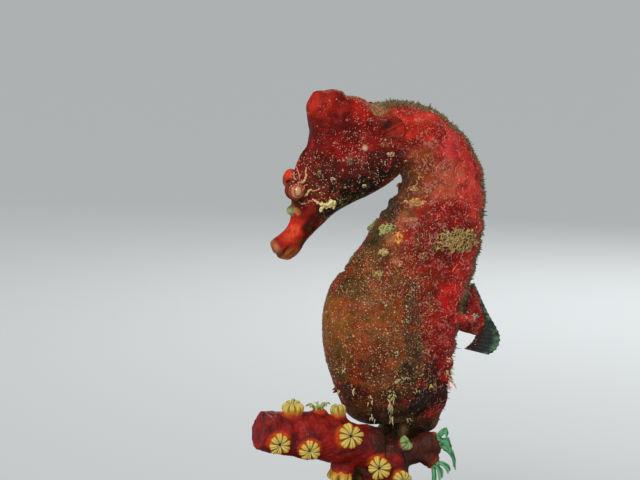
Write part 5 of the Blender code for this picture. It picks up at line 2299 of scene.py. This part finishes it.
TUFTS = tuple(
    Tuft.read(*row)
    for row in (
        (-12.4, 1, 47.6, 0.8, 5), (-11, 5.3, 48.2, 0.9, 6), (-7.9, 6.8, 46.6, 0.9, 7),
        (-4, 7.8, 46.6, 2, 12, 0.14, 1.6, 1.3, 200, 192, 140),
        (-3.9, 8, 47.6, 1, 10, 0.16, 0.6, 1.5, 176, 176, 116),
        (0.6, 7.6, 48.4, 0.7, 6, 0.12, 0.8, 1.2, 206, 186, 120),
        (4.8, 6.4, 48.6, 0.9, 9, 0.13, 0.8, 1.2, 216, 196, 110),
        (6.6, 5.8, 48.4, 0.8, 7, 0.13, 0.8, 1.2, 206, 180, 104),
        (9.6, 4.4, 50.6, 1.4, 14, 0.14, 1.2, 1.6, 216, 200, 140),
        (9.4, 4.2, 48.4, 1, 14, 0.2, 0.8, 1.8, 220, 160, 140),
        (9.4, 5, 53.6, 0.7, 7, 0.13, 0.5, 1.4, 226, 190, 160), (-6.9, 4.3, 43, 1, 6),
        (-3.2, 5.8, 42.8, 1, 7, 0.13, 1.4), (1.1, 4.4, 41.4, 0.8, 5, 0.12, 1.2),
        (-13.6, 5.2, 52.4, 0.6, 5, 0.18, 0.4, 0.8), (-3.4, 8.8, 50.9, 0.6, 8, 0.2, 0.5, 1.3, 190, 190, 146),
        (-1, 9.2, 51.2, 0.45, 5, 0.16, 0.3, 1, 210, 190, 150),
        (-3.9, 9.7, 56.3, 0.4, 9, 0.17, 0.2, 1.7, 196, 206, 160),
        (-1.3, 9.4, 62, 0.35, 7, 0.16, 0.2, 1.4, 150, 184, 150),
        (-5.6, 8.4, 65.5, 0.3, 6, 0.18, 0.1, 1.2, 170, 186, 134),
        (-1.2, 8.3, 64.8, 0.3, 3, 0.24, 0.1, 0.5, 206, 230, 200),
        (-6.8, 7.4, 67.4, 0.35, 7, 0.12, 0.2, 1.8, 206, 206, 160),
        (-9, 6.6, 68.6, 0.4, 6, 0.1, 0.2, 2, 210, 176, 110),
        (15.2, 5.2, 61.4, 0.35, 8, 0.2, 0.2, 0.9, 164, 190, 186),
        (13.6, 5, 62.4, 0.4, 6, 0.12, 0.2, 1.6, 226, 196, 176),
    )
)
WORMS = tuple(
    Worms.read(*row)
    for row in (
        (6, 6.5, 78, 6, 3, 6, 60, 214, 132, 106), (12, 5.5, 71, 4, 3, 4.5, 36, 220, 130, 116),
        (8.5, 5.5, 96.5, 3.6, 3, 3.4, 44, 216, 100, 98), (3, 4.5, 91, 2.4, 3, 4.5, 36, 206, 156, 104),
        (-3, 6.5, 70, 4.5, 3, 4, 32, 196, 146, 100), (7, 6.5, 61, 3, 3, 6, 26, 216, 120, 106),
        (14, 4, 84, 3, 3, 6, 14, 216, 120, 106),
    )
)
TRUNK_CRUSTS = (
    (10.5, 7.2, 77.2, 5.8, 2.6, 182, 156, 98, 92, 44, 20, 0.62, 0.34),
    (7.7, 7.4, 78, 0.4, 1.7, 184, 196, 158, 120, 116, 80),
    (-1.8, 5.5, 78, 1, 1.5, 228, 164, 86, 150, 74, 26, 0.6, 0.4),
    (-3.6, 3.6, 79.3, 1.9, 1.7, 178, 176, 116, 82, 80, 34, 0.7, 0.45),
    (-4.7, 5.3, 74.6, 1.2, 1.3, 196, 176, 122, 120, 92, 50),
    (-2.3, 7, 73.2, 1.3, 0.9, 196, 132, 100, 140, 70, 48), (-6.1, 5.9, 71, 1.4, 1, 176, 150, 96, 110, 84, 44),
    (2.4, 4.2, 84.4, 2.2, 0.8, 206, 166, 110, 150, 98, 50),
    (1.8, 3.6, 87.4, 1.3, 0.6, 196, 158, 110, 136, 88, 46),
    (0.6, 5, 81.2, 1.6, 0.7, 196, 132, 100, 160, 90, 60),
)
HEAD_CRUSTS = (
    (4.8, 5.7, 0.1, 1, 0.5, 206, 184, 148, 120, 70, 44, 0.5, 0.3),
    (12.5, 5.2, -1, 0.5, 0.4, 196, 200, 120, 110, 96, 50, 0.5, 0.3),
    (4.2, 5.4, 2.2, 0.8, 0.6, 176, 140, 104, 122, 60, 38),
    (6.5, 4.1, 6.1, 0.6, 0.35, 200, 140, 112, 132, 40, 28),
    (2.8, 3.4, 7.2, 0.9, 0.4, 196, 130, 106, 136, 50, 34),
    (16.1, 4.1, 4.1, 0.6, 0.6, 214, 196, 164, 80, 40, 26, 0.5, 0.22),
    (17, 3.2, 6.7, 0.45, 0.9, 150, 124, 94, 112, 62, 44),
)
BACK_CRUSTS = (
    (-4.9, 2, 103.1, 2.2, 1.8, 150, 124, 88, 134, 80, 52, 0, 0.15),
    (16.9, 2.6, 75.8, 0.5, 3, 214, 200, 172, 150, 110, 84),
)
CRUSTS = tuple(
    Crust.read(where, *row)
    for where, rows in ((IN_BODY, TRUNK_CRUSTS), (IN_HEAD, HEAD_CRUSTS), (IN_BODY, BACK_CRUSTS))
    for row in rows
)
PINK, PALE = paint(206, 128, 104), paint(206, 164, 122)
GREY, RIM = paint(164, 146, 104), paint(158, 122, 84)
STRANDS = tuple(
    Strand(where, path, radii, colour)
    for where, colour, radii, *path in (
        (
            ONE_SIDE, GREY, (0.13, 0.2), (20.2, 0, 9.2), (20.7, -0.3, 8.8), (21.1, -0.7, 8.4),
            (21.2, -1.6, 8.5), (21.3, -2.6, 8.7),
        ),
        (
            ONE_SIDE, PINK, (0.1, 0.15), (19.2, -0.1, 9.7), (19.7, -1, 9.1), (20.2, -1.5, 8.4),
            (20.7, -1.8, 7.9),
        ),
        (IN_HEAD, PALE, (0.17, 0.12), (18.2, 1.8, 8.6), (18.8, 1.9, 8.2), (19.2, 2.1, 7.7)),
        (
            IN_HEAD, PALE, (0.17, 0.28), (19, 2, 7.8), (19.6, 2.2, 7.5), (20.1, 2.25, 7.3),
            (20.6, 2.3, 7.2),
        ),
        (IN_HEAD, PALE, (0.2, 0.2), (19, 1.9, 7.8), (19.15, 2.1, 7.7), (19.3, 2.3, 7.6)),
        (IN_HEAD, PINK, (0.16, 0.16), (18.1, 1.7, 8.7), (18.2, 1.8, 8.6), (18.3, 1.9, 8.5)),
        (IN_HEAD, PALE, (0.24, 0.16), (20.6, 2.3, 7.2), (20.9, 2.5, 7.4), (21.2, 2.9, 7.7)),
        (IN_HEAD, PINK, (0.12, 0.15), (20.7, 2.3, 7.6), (21.4, 3.1, 8), (22, 3.8, 8.2)),
        (
            IN_HEAD, PINK, (0.1, 0.14), (20.2, 2.7, 6.3), (20.7, 2.5, 6.6), (21.2, 3.2, 6.8),
            (21.7, 3.8, 6.8),
        ),
        (IN_HEAD, PINK, (0.09, 0.15), (19, 3.5, 4.3), (19.9, 3.3, 4.6), (20.5, 3.1, 5)),
        (
            IN_HEAD, PALE, (0.2, 0.24), (20.3, 3.1, 5.1), (20.7, 3, 5.4), (21.5, 2.9, 5.2),
            (22.2, 2.7, 5.2),
        ),
        (IN_HEAD, PINK, (0.12, 0.14), (18.2, 3.8, 4), (18.6, 3.7, 4.2)),
        (
            IN_HEAD, paint(206, 180, 124), (0.15, 0.32), (21.5, 3.1, 3.8), (21.3, 3.4, 3.1),
            (21.1, 3.6, 2.2),
        ),
        (
            IN_HEAD, paint(200, 156, 110), (0.2, 0.14), (23.6, 2.1, 4.2), (23.3, 2.4, 4),
            (22.9, 2.6, 3.8),
        ),
        (IN_HEAD, PINK, (0.09, 0.12), (22.3, 2.6, 3.9), (21.9, 2.9, 3.6), (21.7, 3, 3.3)),
        (
            ONE_SIDE, RIM, (0.1, 0.12), (4, -0.8, 15.8), (3, -0.8, 14.3), (3.1, -0.8, 13.3),
            (2.2, -0.8, 12.3),
        ),
        (
            ONE_SIDE, RIM, (0.12, 0.18), (2.2, -0.8, 12.3), (1.8, -0.8, 11.8), (1.1, -0.8, 10.5),
            (0.8, -0.8, 9.2),
        ),
    )
)
CLUMP = (
    (20.8, 1.97, 0.44), (20.65, 1.29, 0.48), (19.9, 1.14, 0.44), (19.15, 1, 0.52), (18.85, 0.46, 0.46),
    (19.3, -0.2, 0.38), (19.68, -0.55, 0.34), (19.9, 0.33, 0.4), (21.4, 1.3, 0.36), (21.77, 0.97, 0.34),
    (20.65, 0.75, 0.34),
)


@dataclass
class Growths:
    """Lace, lumps and threads that grow on the skin, the clump on the cheek, and the tassels.

    Attributes:
        step: How wide the faces of a crust's grid are.
        strand_steps: How many points a thread has along it.
        clump_aside: How far from the head's middle plane the clump's parts are looked for.
    """

    ground: Ground
    step: float = 0.085
    seed: int = 5
    strand_steps: int = 26
    clump_aside: float = 3.6
    clump_dark: Triple = paint(176, 150, 78)
    clump_light: Triple = paint(240, 228, 168)

    def crust(self, patch: Crust, side: int) -> Shape:
        """A grid laid on the skin, raised where its pattern stands out.

        Args:
            patch: The patch.
            side: Left (-1) or right (1).

        Returns:
            The grid.
        """
        middle, facing = self.ground.foot(self.ground.place(patch.where, patch.middle, side))
        across = unit(np.cross((0.05, 0, 1), facing))
        up = np.cross(facing, across)
        wide, tall = patch.reach
        right, high = np.meshgrid(
            np.arange(-wide * 1.2, wide * 1.2, self.step), np.arange(-tall * 1.2, tall * 1.2, self.step)
        )
        flat = middle + right[..., None] * across + high[..., None] * up + facing * 0.3
        points, ups = self.ground.drop(flat.reshape(-1, 3))
        out = np.hypot(right / wide, high / tall).ravel()
        out += 0.35 * lumps(points, 1.3, self.seed + side) + 0.3 * lumps(points, 0.5, self.seed)
        inside = eased(out, 1.05, 0.85)
        if patch.cell:
            bent = points + 0.3 * np.stack([lumps(points, 0.7, k) for k in (1, 2, 3)], axis=1)
            gaps = [noise.voronoi(p)[0] for p in (bent / patch.cell).tolist()]
            share = eased(np.array([far - near for near, far, *_ in gaps]), 0.3, 0.05)
        else:
            bent = points + 0.25 * np.stack([lumps(points, 0.6, k) for k in (1, 2, 3)], axis=1)
            share = eased(np.abs(lumps(bent, 0.6, 9)), 0.26, 0.06)
        rise = patch.height * (share + 0.12) * inside - 0.2 * (1 - inside)
        rise += 0.03 * lumps(points, 0.2, 7)
        grid = np.arange(right.size).reshape(right.shape)
        quads = np.stack([grid[:-1, :-1], grid[:-1, 1:], grid[1:, 1:], grid[1:, :-1]], axis=-1).reshape(-1, 4)
        quads = quads[rise[quads].max(axis=1) > -0.1]
        tint = over(patch.dark, share * 0.9, patch.light)
        return Shape(points + ups * rise[:, None], [quads], {"tint": tint})

    def strand(self, row: Strand, side: int) -> Shape:
        """A thread laid along the skin, thicker at its end and a little beaded.

        Args:
            row: Where it runs, and its size.
            side: Left (-1) or right (1).

        Returns:
            The thread.
        """
        through = np.array([self.ground.place(row.where, at, side) for at in row.path])
        line = Curve(through)
        path, ups = self.ground.drop(line(line.spread(self.strand_steps)))
        share = np.linspace(0, 1, self.strand_steps)
        radii = row.radii[0] + (row.radii[1] - row.radii[0]) * share
        closed = np.sqrt(np.clip(1.02 - (2 * share - 1) ** 8, 0.05, 1))
        radii = radii * (1 + 0.22 * np.sin(share * 19)) * closed
        shape = tube(path + ups * (radii * 0.45)[:, None], radii, 9)
        return shape.tinted(row.colour)

    def clump(self, side: int) -> Shape:
        """The pale knobbly clump on the cheek.

        Args:
            side: Left (-1) or right (1).

        Returns:
            The clump.
        """
        shapes = []
        for along, height, radius in CLUMP:
            at = (along, self.clump_aside, height)
            place, up = self.ground.foot(self.ground.place(Frame.HEAD, at, side))
            shapes.append(ball(place + up * radius * 0.7, radius, 16, 10))
        shape = fused(shapes, 0.1)
        shape.smooth(0.5, 2)
        rough = lumps(shape.points, 0.34, 3)
        shape.points += shape.normals() * (0.13 * rough)[:, None]
        shape.marks = {"tint": over(self.clump_dark, eased(rough, -0.4, 0.3), self.clump_light)}
        return shape

    def tassel(self, tuft: Tuft, side: int, random: np.random.Generator) -> list[Shape]:
        """Soft pale threads and a few beads that hang from one place.

        Args:
            tuft: Where it hangs, and its size.
            side: Left (-1) or right (1).
            random: Where the chance comes from.

        Returns:
            Its threads and beads.
        """
        root, up = self.ground.foot(np.array(tuft.root) * (1, side, 1))
        ahead = unit(up + (0, 0, -tuft.fall))
        light, dark = np.array(tuft.colour), np.array(tuft.colour) * 0.55
        made = []
        for _ in range(tuft.count):
            reach = tuft.length * (0.45 + 0.6 * random.random())
            share = np.linspace(0, 1, 8)[:, None]
            start = root + 0.28 * tuft.spread * random.normal(size=3) - up * 0.1
            path = start + unit(ahead + 0.3 * tuft.spread * random.normal(size=3)) * reach * share
            path = path + np.array([0, 0, -0.3 * tuft.fall * reach]) * share**2
            path = path + 0.05 * random.normal(size=path.shape) * share
            beads = 1 + 0.25 * np.sin(share[:, 0] * 15 + reach * 9)
            radii = tuft.thick * (1.05 - 0.75 * share[:, 0]) * beads
            tint = dark + random.random() ** 0.6 * (light - dark)
            made.append(tube(path, radii, 6).tinted(tint))
        return made

    def worm(
        self, start: Array, steps: int, radius: float, colour: Triple, random: np.random.Generator
    ) -> Shape:
        """A short winding thread on the skin.

        Args:
            start: Where it starts.
            steps: How many steps long it is.
            radius: Its radius.
            colour: Its colour.
            random: Where the chance comes from.

        Returns:
            The thread.
        """
        place, up = self.ground.foot(start)
        ahead = unit(np.cross(up, random.normal(size=3)))
        turn, path = random.normal() * 0.5, []
        for _ in range(steps):
            path.append(place + up * radius * 0.4)
            turn = 0.6 * turn + 0.55 * random.normal()
            ahead = unit(ahead + turn * np.cross(up, ahead))
            place, up = self.ground.foot(place + ahead * 0.16)
            ahead = unit(ahead - up * np.dot(ahead, up))
        radii = radius * (1 + 0.35 * random.random(steps))
        radii[[0, -1]] *= 0.5
        return tube(np.array(path), radii, 5).tinted(colour)

    def worms(self, random: np.random.Generator) -> list[Shape]:
        """Short winding threads, thickest on the lower trunk and the nape.

        Args:
            random: Where the chance comes from.

        Returns:
            The threads.
        """
        skin, made = self.ground.skin, []
        for patch in WORMS:
            for side in SIDES:
                at = (skin.points - np.array(patch.middle) * (1, side, 1)) / patch.reach
                share = np.exp(-(at**2).sum(axis=1)) * (at[:, 1] * side > -1.5)
                chosen = random.choice(len(share), patch.count, replace=False, p=share / share.sum())
                light = np.array(patch.colour)
                for start in skin.points[chosen]:
                    tint = light * (0.55 + 0.5 * random.random())
                    steps, radius = int(random.integers(4, 12)), 0.045 + 0.04 * random.random()
                    made.append(self.worm(start, steps, radius, tint, random))
        return made

    def make(self) -> None:
        """Builds the pieces."""
        random = np.random.default_rng(self.seed)
        dress = TintedFinish("chalky_growth", 0.7, 0.06).material()
        crusts = [self.crust(patch, side) for patch in CRUSTS for side in SIDES]
        joined(crusts).to_object("crusts", "trunk", dress)
        threads = []
        for row in STRANDS:
            sides = (1,) if row.where is Frame.ONE_SIDE else SIDES
            threads += [self.strand(row, side) for side in sides]
        for tuft in TUFTS:
            for side in SIDES:
                threads += self.tassel(tuft, side, random)
        joined(threads).to_object("threads", "trunk", dress)
        joined(self.worms(random)).to_object("winding_threads", "trunk", dress)
        joined([self.clump(side) for side in SIDES]).to_object("cheek_clumps", "head", dress)


# ---------------------------------------------------------------- the coral


class Crown(Enum):
    """How a polyp shows itself."""

    FOLDED = "its lobes folded into a dome"
    OPEN = "its tentacles spread"


@dataclass(frozen=True)
class Polyp:
    """A polyp: its foot in the branch, its crown's middle and radius, how it shows, how green it is."""

    foot: Triple
    middle: Triple
    radius: float
    kind: Crown
    green: float

    def reach(self) -> Array:
        """The way from its foot to its crown's middle."""
        return np.subtract(self.middle, self.foot)


@dataclass
class Coral:
    """The sprig: one rind over stem, arm and stub, and the polyps on their stout stalks.

    Attributes:
        arm, stem, stub: Rows of x, y, z and radius along each.
        polyp_rows: The fields of each polyp.
        profile: A crown's outline: height as a share of the stalk's length, and share of radius.
        The dark brown patches of painted shade on the rind under the tail's root, where the body shades it:
        the middle and half widths of each.
        barb: The radii along each barb of a tentacle, as shares of the crown's radius.
    """

    arm: tuple = (
        (-5.5, -4.2, 36.2, 4.0), (-13.0, -4.7, 38.2, 4.3), (-18.5, -5.0, 39.8, 4.6),
        (-23.5, -5.3, 40.7, 4.3), (-27.0, -5.5, 41.3, 4.0), (-30.6, -5.7, 42.1, 3.7),
    )
    stem: tuple = (
        (-3.2, -3.6, 12.1, 4.2), (-3.2, -3.6, 20.0, 4.45), (-3.2, -3.6, 27.0, 4.45),
        (-3.4, -3.7, 32.5, 4.5), (-3.6, -4.1, 37.6, 3.2),
    )
    stub: tuple = ((-1.0, -3.9, 34.4, 2.8), (3.0, -4.3, 35.3, 2.4), (4.6, -4.5, 36.0, 2.1))
    # The strong green of the polyps on the stub is painted light: the greenish cast of the shade under the
    # body.
    polyp_rows: tuple = (
        ((-23.2, -5.4, 41.5), (-24.0, -6.6, 46.8), 2.1, Crown.FOLDED, 0.1),
        ((-17.7, -4.6, 41.5), (-17.9, -4.2, 45.6), 1.7, Crown.OPEN, 0.5),
        ((-13.2, -4.6, 39.5), (-13.9, -4.5, 45.1), 1.5, Crown.FOLDED, 0.2),
        ((-12.9, -5.5, 39.0), (-13.3, -10.3, 40.6), 2.4, Crown.FOLDED, 0.0),
        ((-27.3, -6.0, 40.0), (-27.8, -10.3, 40.0), 2.0, Crown.FOLDED, 0.0),
        ((-20.8, -5.3, 38.8), (-21.5, -9.6, 38.1), 2.0, Crown.FOLDED, 0.0),
        ((-12.4, -4.6, 36.0), (-13.7, -5.0, 30.8), 2.4, Crown.FOLDED, 0.1),
        ((-16.2, -4.0, 39.5), (-16.8, 0.5, 40.4), 1.9, Crown.FOLDED, 0.0),
        ((-24.8, -4.0, 40.6), (-25.2, -0.4, 38.2), 1.9, Crown.FOLDED, 0.0),
        ((-4.4, -5.0, 32.6), (-7.2, -9.6, 33.5), 2.2, Crown.FOLDED, 0.0),
        ((-2.6, -5.0, 29.8), (-2.0, -9.3, 30.4), 2.0, Crown.FOLDED, 0.1),
        ((-1.9, -4.6, 35.4), (-0.1, -6.6, 37.4), 1.5, Crown.FOLDED, 0.7),
        ((4.2, -4.5, 35.9), (7.6, -6.0, 37.0), 2.5, Crown.OPEN, 1.0),
        ((3.6, -4.6, 35.2), (6.4, -6.6, 32.0), 1.8, Crown.OPEN, 1.0),
    )
    stalk: tuple = ((0.0, 1.05), (0.4, 1.0), (0.62, 0.98), (0.78, 0.9), (0.86, 0.72))
    profile: tuple = (
        (0.52, 0.72), (0.66, 0.84), (0.8, 0.95), (0.91, 1.0), (0.99, 0.95), (1.05, 0.8), (1.08, 0.56),
        (1.06, 0.34), (0.99, 0.16), (0.9, 0.06),
    )
    voxel: float = 0.24
    lobes: int = 8
    branch_grid: tuple[int, int] = (60, 40)
    crown_grid: tuple[int, int] = (30, 144)
    tentacle_steps: int = 14
    barb: tuple = (0.045, 0.04, 0.03, 0.012)
    dusk: tuple = (((-4.8, -5.6, 38.8), (4.2, 6.0, 4.0)), ((2.4, -4.8, 35.4), (6.4, 5.0, 5.0)))

    def polyps(self) -> list[Polyp]:
        """The polyps."""
        return [Polyp(*row) for row in self.polyp_rows]

    def branch(self, rows: tuple) -> Shape:
        """A round branch that swells and thins a little.

        Args:
            rows: Rows of x, y, z and radius along it.

        Returns:
            The branch.
        """
        line = Curve(rows)
        steps, sides = self.branch_grid
        length = line.spread(steps)
        path = line(length)
        radii = path[:, 3] * (1 + 0.03 * np.sin(length * 0.9))
        return tube(path[:, :3], radii, sides)

    def rind(self) -> Shape:
        """The branches and stalks in one surface, grainy, orange round the crowns, and with painted shade
        under the tail's root.

        Returns:
            The surface, with its marks.
        """
        shapes = [self.branch(rows) for rows in (self.arm, self.stem, self.stub)]
        heights, shares = np.array(self.stalk).T
        for polyp in self.polyps():
            path = polyp.foot + polyp.reach() * heights[:, None]
            shapes.append(tube(path, polyp.radius * shares, 28))
        shape = fused(shapes, self.voxel)
        shape.smooth(0.5, 8)
        lip = np.zeros(len(shape.points))
        for polyp in self.polyps():
            off, reach = shape.points - polyp.foot, polyp.reach()
            along = off @ reach / np.dot(reach, reach)
            aside = np.linalg.norm(off - along[:, None] * reach, axis=1) / polyp.radius
            lip = np.maximum(lip, eased(along, 0.55, 0.85) * eased(aside, 1.4, 1.1))
        rise = 0.3 * lumps(shape.points, 2.2, 41) + 0.16 * lumps(shape.points, 0.8, 42)
        shape.points += shape.normals() * rise[:, None]
        # Painted shade: a dark brown patch on the rind under the tail's root, where the body shades it.
        shade = np.zeros(len(shape.points))
        for middle, reach in self.dusk:
            away = np.linalg.norm((shape.points - middle) / reach, axis=1)
            shade = np.maximum(shade, eased(away + 0.3 * lumps(shape.points, 1.8, 43), 1.2, 0.7))
        shape.marks["lip"] = lip
        shape.marks["dusk"] = shade
        return shape

    def crown(self, foot: Array, reach: Array, radius: float, green: float) -> Shape:
        """A folded crown: a dome of lobes round a small hollow.

        Args:
            foot: The polyp's foot.
            reach: The way from its foot to the crown's middle.
            radius: The crown's radius.
            green: How green it is.

        Returns:
            The crown.
        """
        across, other = frames_along(foot + reach * np.array([[0.0], [1.0]]))
        across, other = across[0], other[0]
        rows = Curve(np.array(self.profile), np.linspace(0, 1, len(self.profile)))
        share = np.linspace(0, 1, self.crown_grid[0])
        height, width = rows(share).T
        angle = circle(self.crown_grid[1])
        turned = angle + 0.12 * np.sin(2 * angle + foot[0]) + 0.08 * np.sin(3 * angle + foot[2])
        phase = (self.lobes * turned / math.tau) % 1.0
        lobe = np.floor(self.lobes * turned / math.tau) % self.lobes
        gap = bell(np.minimum(phase, 1 - phase), 0.13)
        line = 0.45 * bell(phase - 0.5, 0.07)
        upper = eased(share, 0.12, 0.4) * eased(share, 1.0, 0.88)
        furrow = upper[:, None] * np.maximum(gap, line)
        uneven = 1 + 0.07 * np.sin(lobe * 2.4 + foot[0] * 3)
        swell = 1 + 0.2 * eased(share, 0.1, 0.5)[:, None] * (np.abs(np.sin(math.pi * phase)) - 0.6)
        wide = radius * width[:, None] * swell * uneven * (1 - 0.12 * furrow)
        tall = height[:, None] * np.linalg.norm(reach) * (1 + 0.03 * np.sin(lobe * 1.7 + foot[2]))
        tall = tall - 0.2 * radius * furrow
        ring = np.cos(angle)[:, None] * across + np.sin(angle)[:, None] * other
        points = foot + unit(reach) * tall[..., None] + ring * wide[..., None]
        hollow = eased(share, 0.88, 0.97)[:, None]
        return self.marked(loft(points), furrow.shape, share[:, None], furrow, hollow, green)

    @staticmethod
    def marked(shape: Shape, grid: tuple[int, ...], *values: Array | float) -> Shape:
        """Gives a shape what the crowns' finish reads: rise, furrow, hollow and green.

        Args:
            shape: The shape.
            grid: The rows and columns of its points.
            values: What each mark says, in the order named above.

        Returns:
            The same shape.
        """
        names = ("rise", "furrow", "hollow", "green")
        shape.marks = {name: filled(value, grid) for name, value in zip(names, values)}
        return shape

    def tentacles(self, foot: Array, reach: Array, radius: float, green: float) -> list[Shape]:
        """An open crown: eight feathery tentacles round a low disc.

        Args:
            foot: The polyp's foot.
            reach: The way from its foot to the crown's middle.
            radius: The crown's radius.
            green: How green it is.

        Returns:
            The disc and the tentacles.
        """
        across, other = frames_along(foot + reach * np.array([[0.0], [1.0]]))
        ahead, made = unit(reach), []
        top = foot + reach * 0.9
        for k in range(self.lobes):
            angle = math.tau * (k + 0.3) / self.lobes
            out = math.cos(angle) * across[0] + math.sin(angle) * other[0]
            share = np.linspace(0, 1, self.tentacle_steps)[:, None]
            outward = 0.45 + 0.75 * share - 0.1 * share**3
            arc = out * outward + ahead * (0.1 + 0.95 * share - 0.45 * share**2)
            path = top + radius * arc * (1 + 0.08 * math.sin(3 * k))
            path[:, 2] -= 0.7 * radius * green * share[:, 0] ** 2
            made.append(tube(path, radius * (0.12 - 0.09 * share[:, 0]), 7))
            side = np.cross(ahead, out)
            for place in range(3, self.tentacle_steps):
                for way in (-1, 1):
                    length = radius * 0.2 * math.sin(math.pi * (place - 1) / self.tentacle_steps)
                    tip = path[place] + (side * way + 0.35 * ahead + 0.4 * out) * length
                    barb = np.linspace(path[place], tip, len(self.barb))
                    made.append(tube(barb, radius * np.array(self.barb), 5))
        return [self.marked(shape, shape.points.shape[:1], 0.7, 0.0, 0.0, green) for shape in made]

    def make(self) -> None:
        """Builds the rind, which replaces the perch, and the crowns."""
        piece = self.rind().to_object("coral_rind", "coral", RindFinish().material())
        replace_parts(piece, "perch_stem", "perch_arm", "perch_stub")
        crowns = []
        for polyp in self.polyps():
            foot, reach, radius, green = polyp.foot, polyp.reach(), polyp.radius, polyp.green
            if polyp.kind is Crown.OPEN:
                crowns += self.tentacles(foot, reach, radius * (1 + 0.4 * green), green)
                crowns.append(self.crown(foot, reach * 0.94, radius * 0.62, green))
            else:
                crowns.append(self.crown(foot, reach, radius, green))
        joined(crowns).to_object("polyp_crowns", "coral", PolypFinish().material())


# ---------------------------------------------------------------- the stand


class Stand:
    """The plain stand: its nodes keep their shapes and get finishes."""

    def dress(self) -> None:
        """Gives the base satin wood and the rod brushed steel."""
        for node, finish in (("stand_base", WoodFinish()), ("stand_rod", SteelFinish())):
            piece = bpy.data.objects[node]
            piece.data.materials.clear()
            piece.data.materials.append(finish.material())


# ---------------------------------------------------------------- the studio


@dataclass(frozen=True)
class Studio:
    """A pale floor, soft lights, and a camera forward of the animal's left side.

    Attributes:
        turn, rise: In degrees, how far the camera stands forward of the left side and above level.
        distance, field: In metres, how far off it stands, and how wide its view is there.
        target, offset: In millimetres, a point of the stand's axis, and how far left of it and
            above it the view's middle lies.
        lamps: Name, kind, place in metres, width, power and colour.
        aim: Where the lamps point.
    """

    turn: float = -20.0
    rise: float = 8.0
    distance: float = 0.43
    field: float = 0.128
    sensor: float = 36.0
    target: Triple = (0.0, 0.0, 34.0)
    offset: tuple = (15.0, 42.4)
    floor_size: float = 15.0
    floor_colour: Triple = paint(196, 200, 202)
    lamps: tuple = (
        ("key", "SUN", (-0.55, -0.72, 1.0), 0.5, 2.1, (1.0, 0.97, 0.93)),
        ("front", "AREA", (-0.25, -0.45, 0.24), 0.16, 0.5, (1.0, 0.98, 0.95)),
        ("rim", "AREA", (0.3, 0.35, 0.3), 0.2, 1.0, (1.0, 1.0, 1.0)),
    )
    aim: Triple = (0.0, 0.0, 0.07)
    surround: Triple = (0.86, 0.89, 0.92)
    surround_power: float = 0.34

    def directions(self) -> tuple[Vector, Vector, Vector]:
        """Towards the camera, to its right, and up.

        Returns:
            Three unit vectors.
        """
        turn, rise = math.radians(self.turn), math.radians(self.rise)
        back = Vector(
            (math.sin(turn) * math.cos(rise), -math.cos(turn) * math.cos(rise), math.sin(rise))
        )
        right = Vector((math.cos(turn), math.sin(turn), 0))
        return back, right, back.cross(right)

    def camera(self) -> None:
        """Sets the camera so that its view is field metres wide at the target."""
        back, right, up = self.directions()
        middle = Vector(self.target) * MM - right * self.offset[0] * MM + up * self.offset[1] * MM
        data = bpy.data.cameras.new("camera")
        data.sensor_width = self.sensor
        data.lens = self.sensor * self.distance / self.field
        data.clip_start, data.clip_end = 0.01, 20.0
        camera = linked("camera", data)
        camera.location = middle + back * self.distance
        camera.rotation_euler = back.to_track_quat("Z", "Y").to_euler()
        bpy.context.scene.camera = camera

    def floor(self) -> None:
        """A wide pale floor."""
        dress = Dress("pale_floor")
        dress.done(Base_Color=self.floor_colour, Roughness=0.95, Specular_IOR_Level=0.1)
        mesh = bpy.data.meshes.new("floor")
        bm = bmesh.new()
        bmesh.ops.create_grid(bm, x_segments=1, y_segments=1, size=self.floor_size)
        bm.to_mesh(mesh)
        bm.free()
        mesh.materials.append(dress.material)
        linked("floor", mesh)

    def lights(self) -> None:
        """A broad key from the front and above, a small fill from the front, and a rim."""
        for name, kind, place, size, power, colour in self.lamps:
            data = bpy.data.lights.new(name, kind)
            data.energy, data.color = power, colour
            setattr(data, "angle" if kind == "SUN" else "size", size)
            light = linked(name, data)
            light.location = place
            back = Vector(place) - Vector(self.aim)
            light.rotation_euler = back.to_track_quat("Z", "Y").to_euler()

    def world(self) -> None:
        """An even pale surround."""
        world = bpy.data.worlds.new("surround")
        world.use_nodes = True
        shade = world.node_tree.nodes["Background"]
        shade.inputs["Color"].default_value = (*self.surround, 1)
        shade.inputs["Strength"].default_value = self.surround_power
        bpy.context.scene.world = world
        bpy.context.scene.view_settings.view_transform = "Standard"

    def build(self) -> None:
        """Sets up all of it."""
        self.camera()
        self.floor()
        self.lights()
        self.world()


def main() -> None:
    """Builds each piece in turn."""
    logging.basicConfig(level=logging.INFO, format="%(message)s")
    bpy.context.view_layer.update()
    head, body, pouch = Head(), Body(), Pouch()
    skin = Skin(head, body, pouch)
    shape = skin.make()
    Eyes(head).make()
    Fins(skin).make()
    ground = Ground(shape, head, body)
    Papillae(ground).make()
    Growths(ground).make()
    Coral().make()
    Stand().dress()
    Studio().build()


if __name__ == "__main__":
    main()
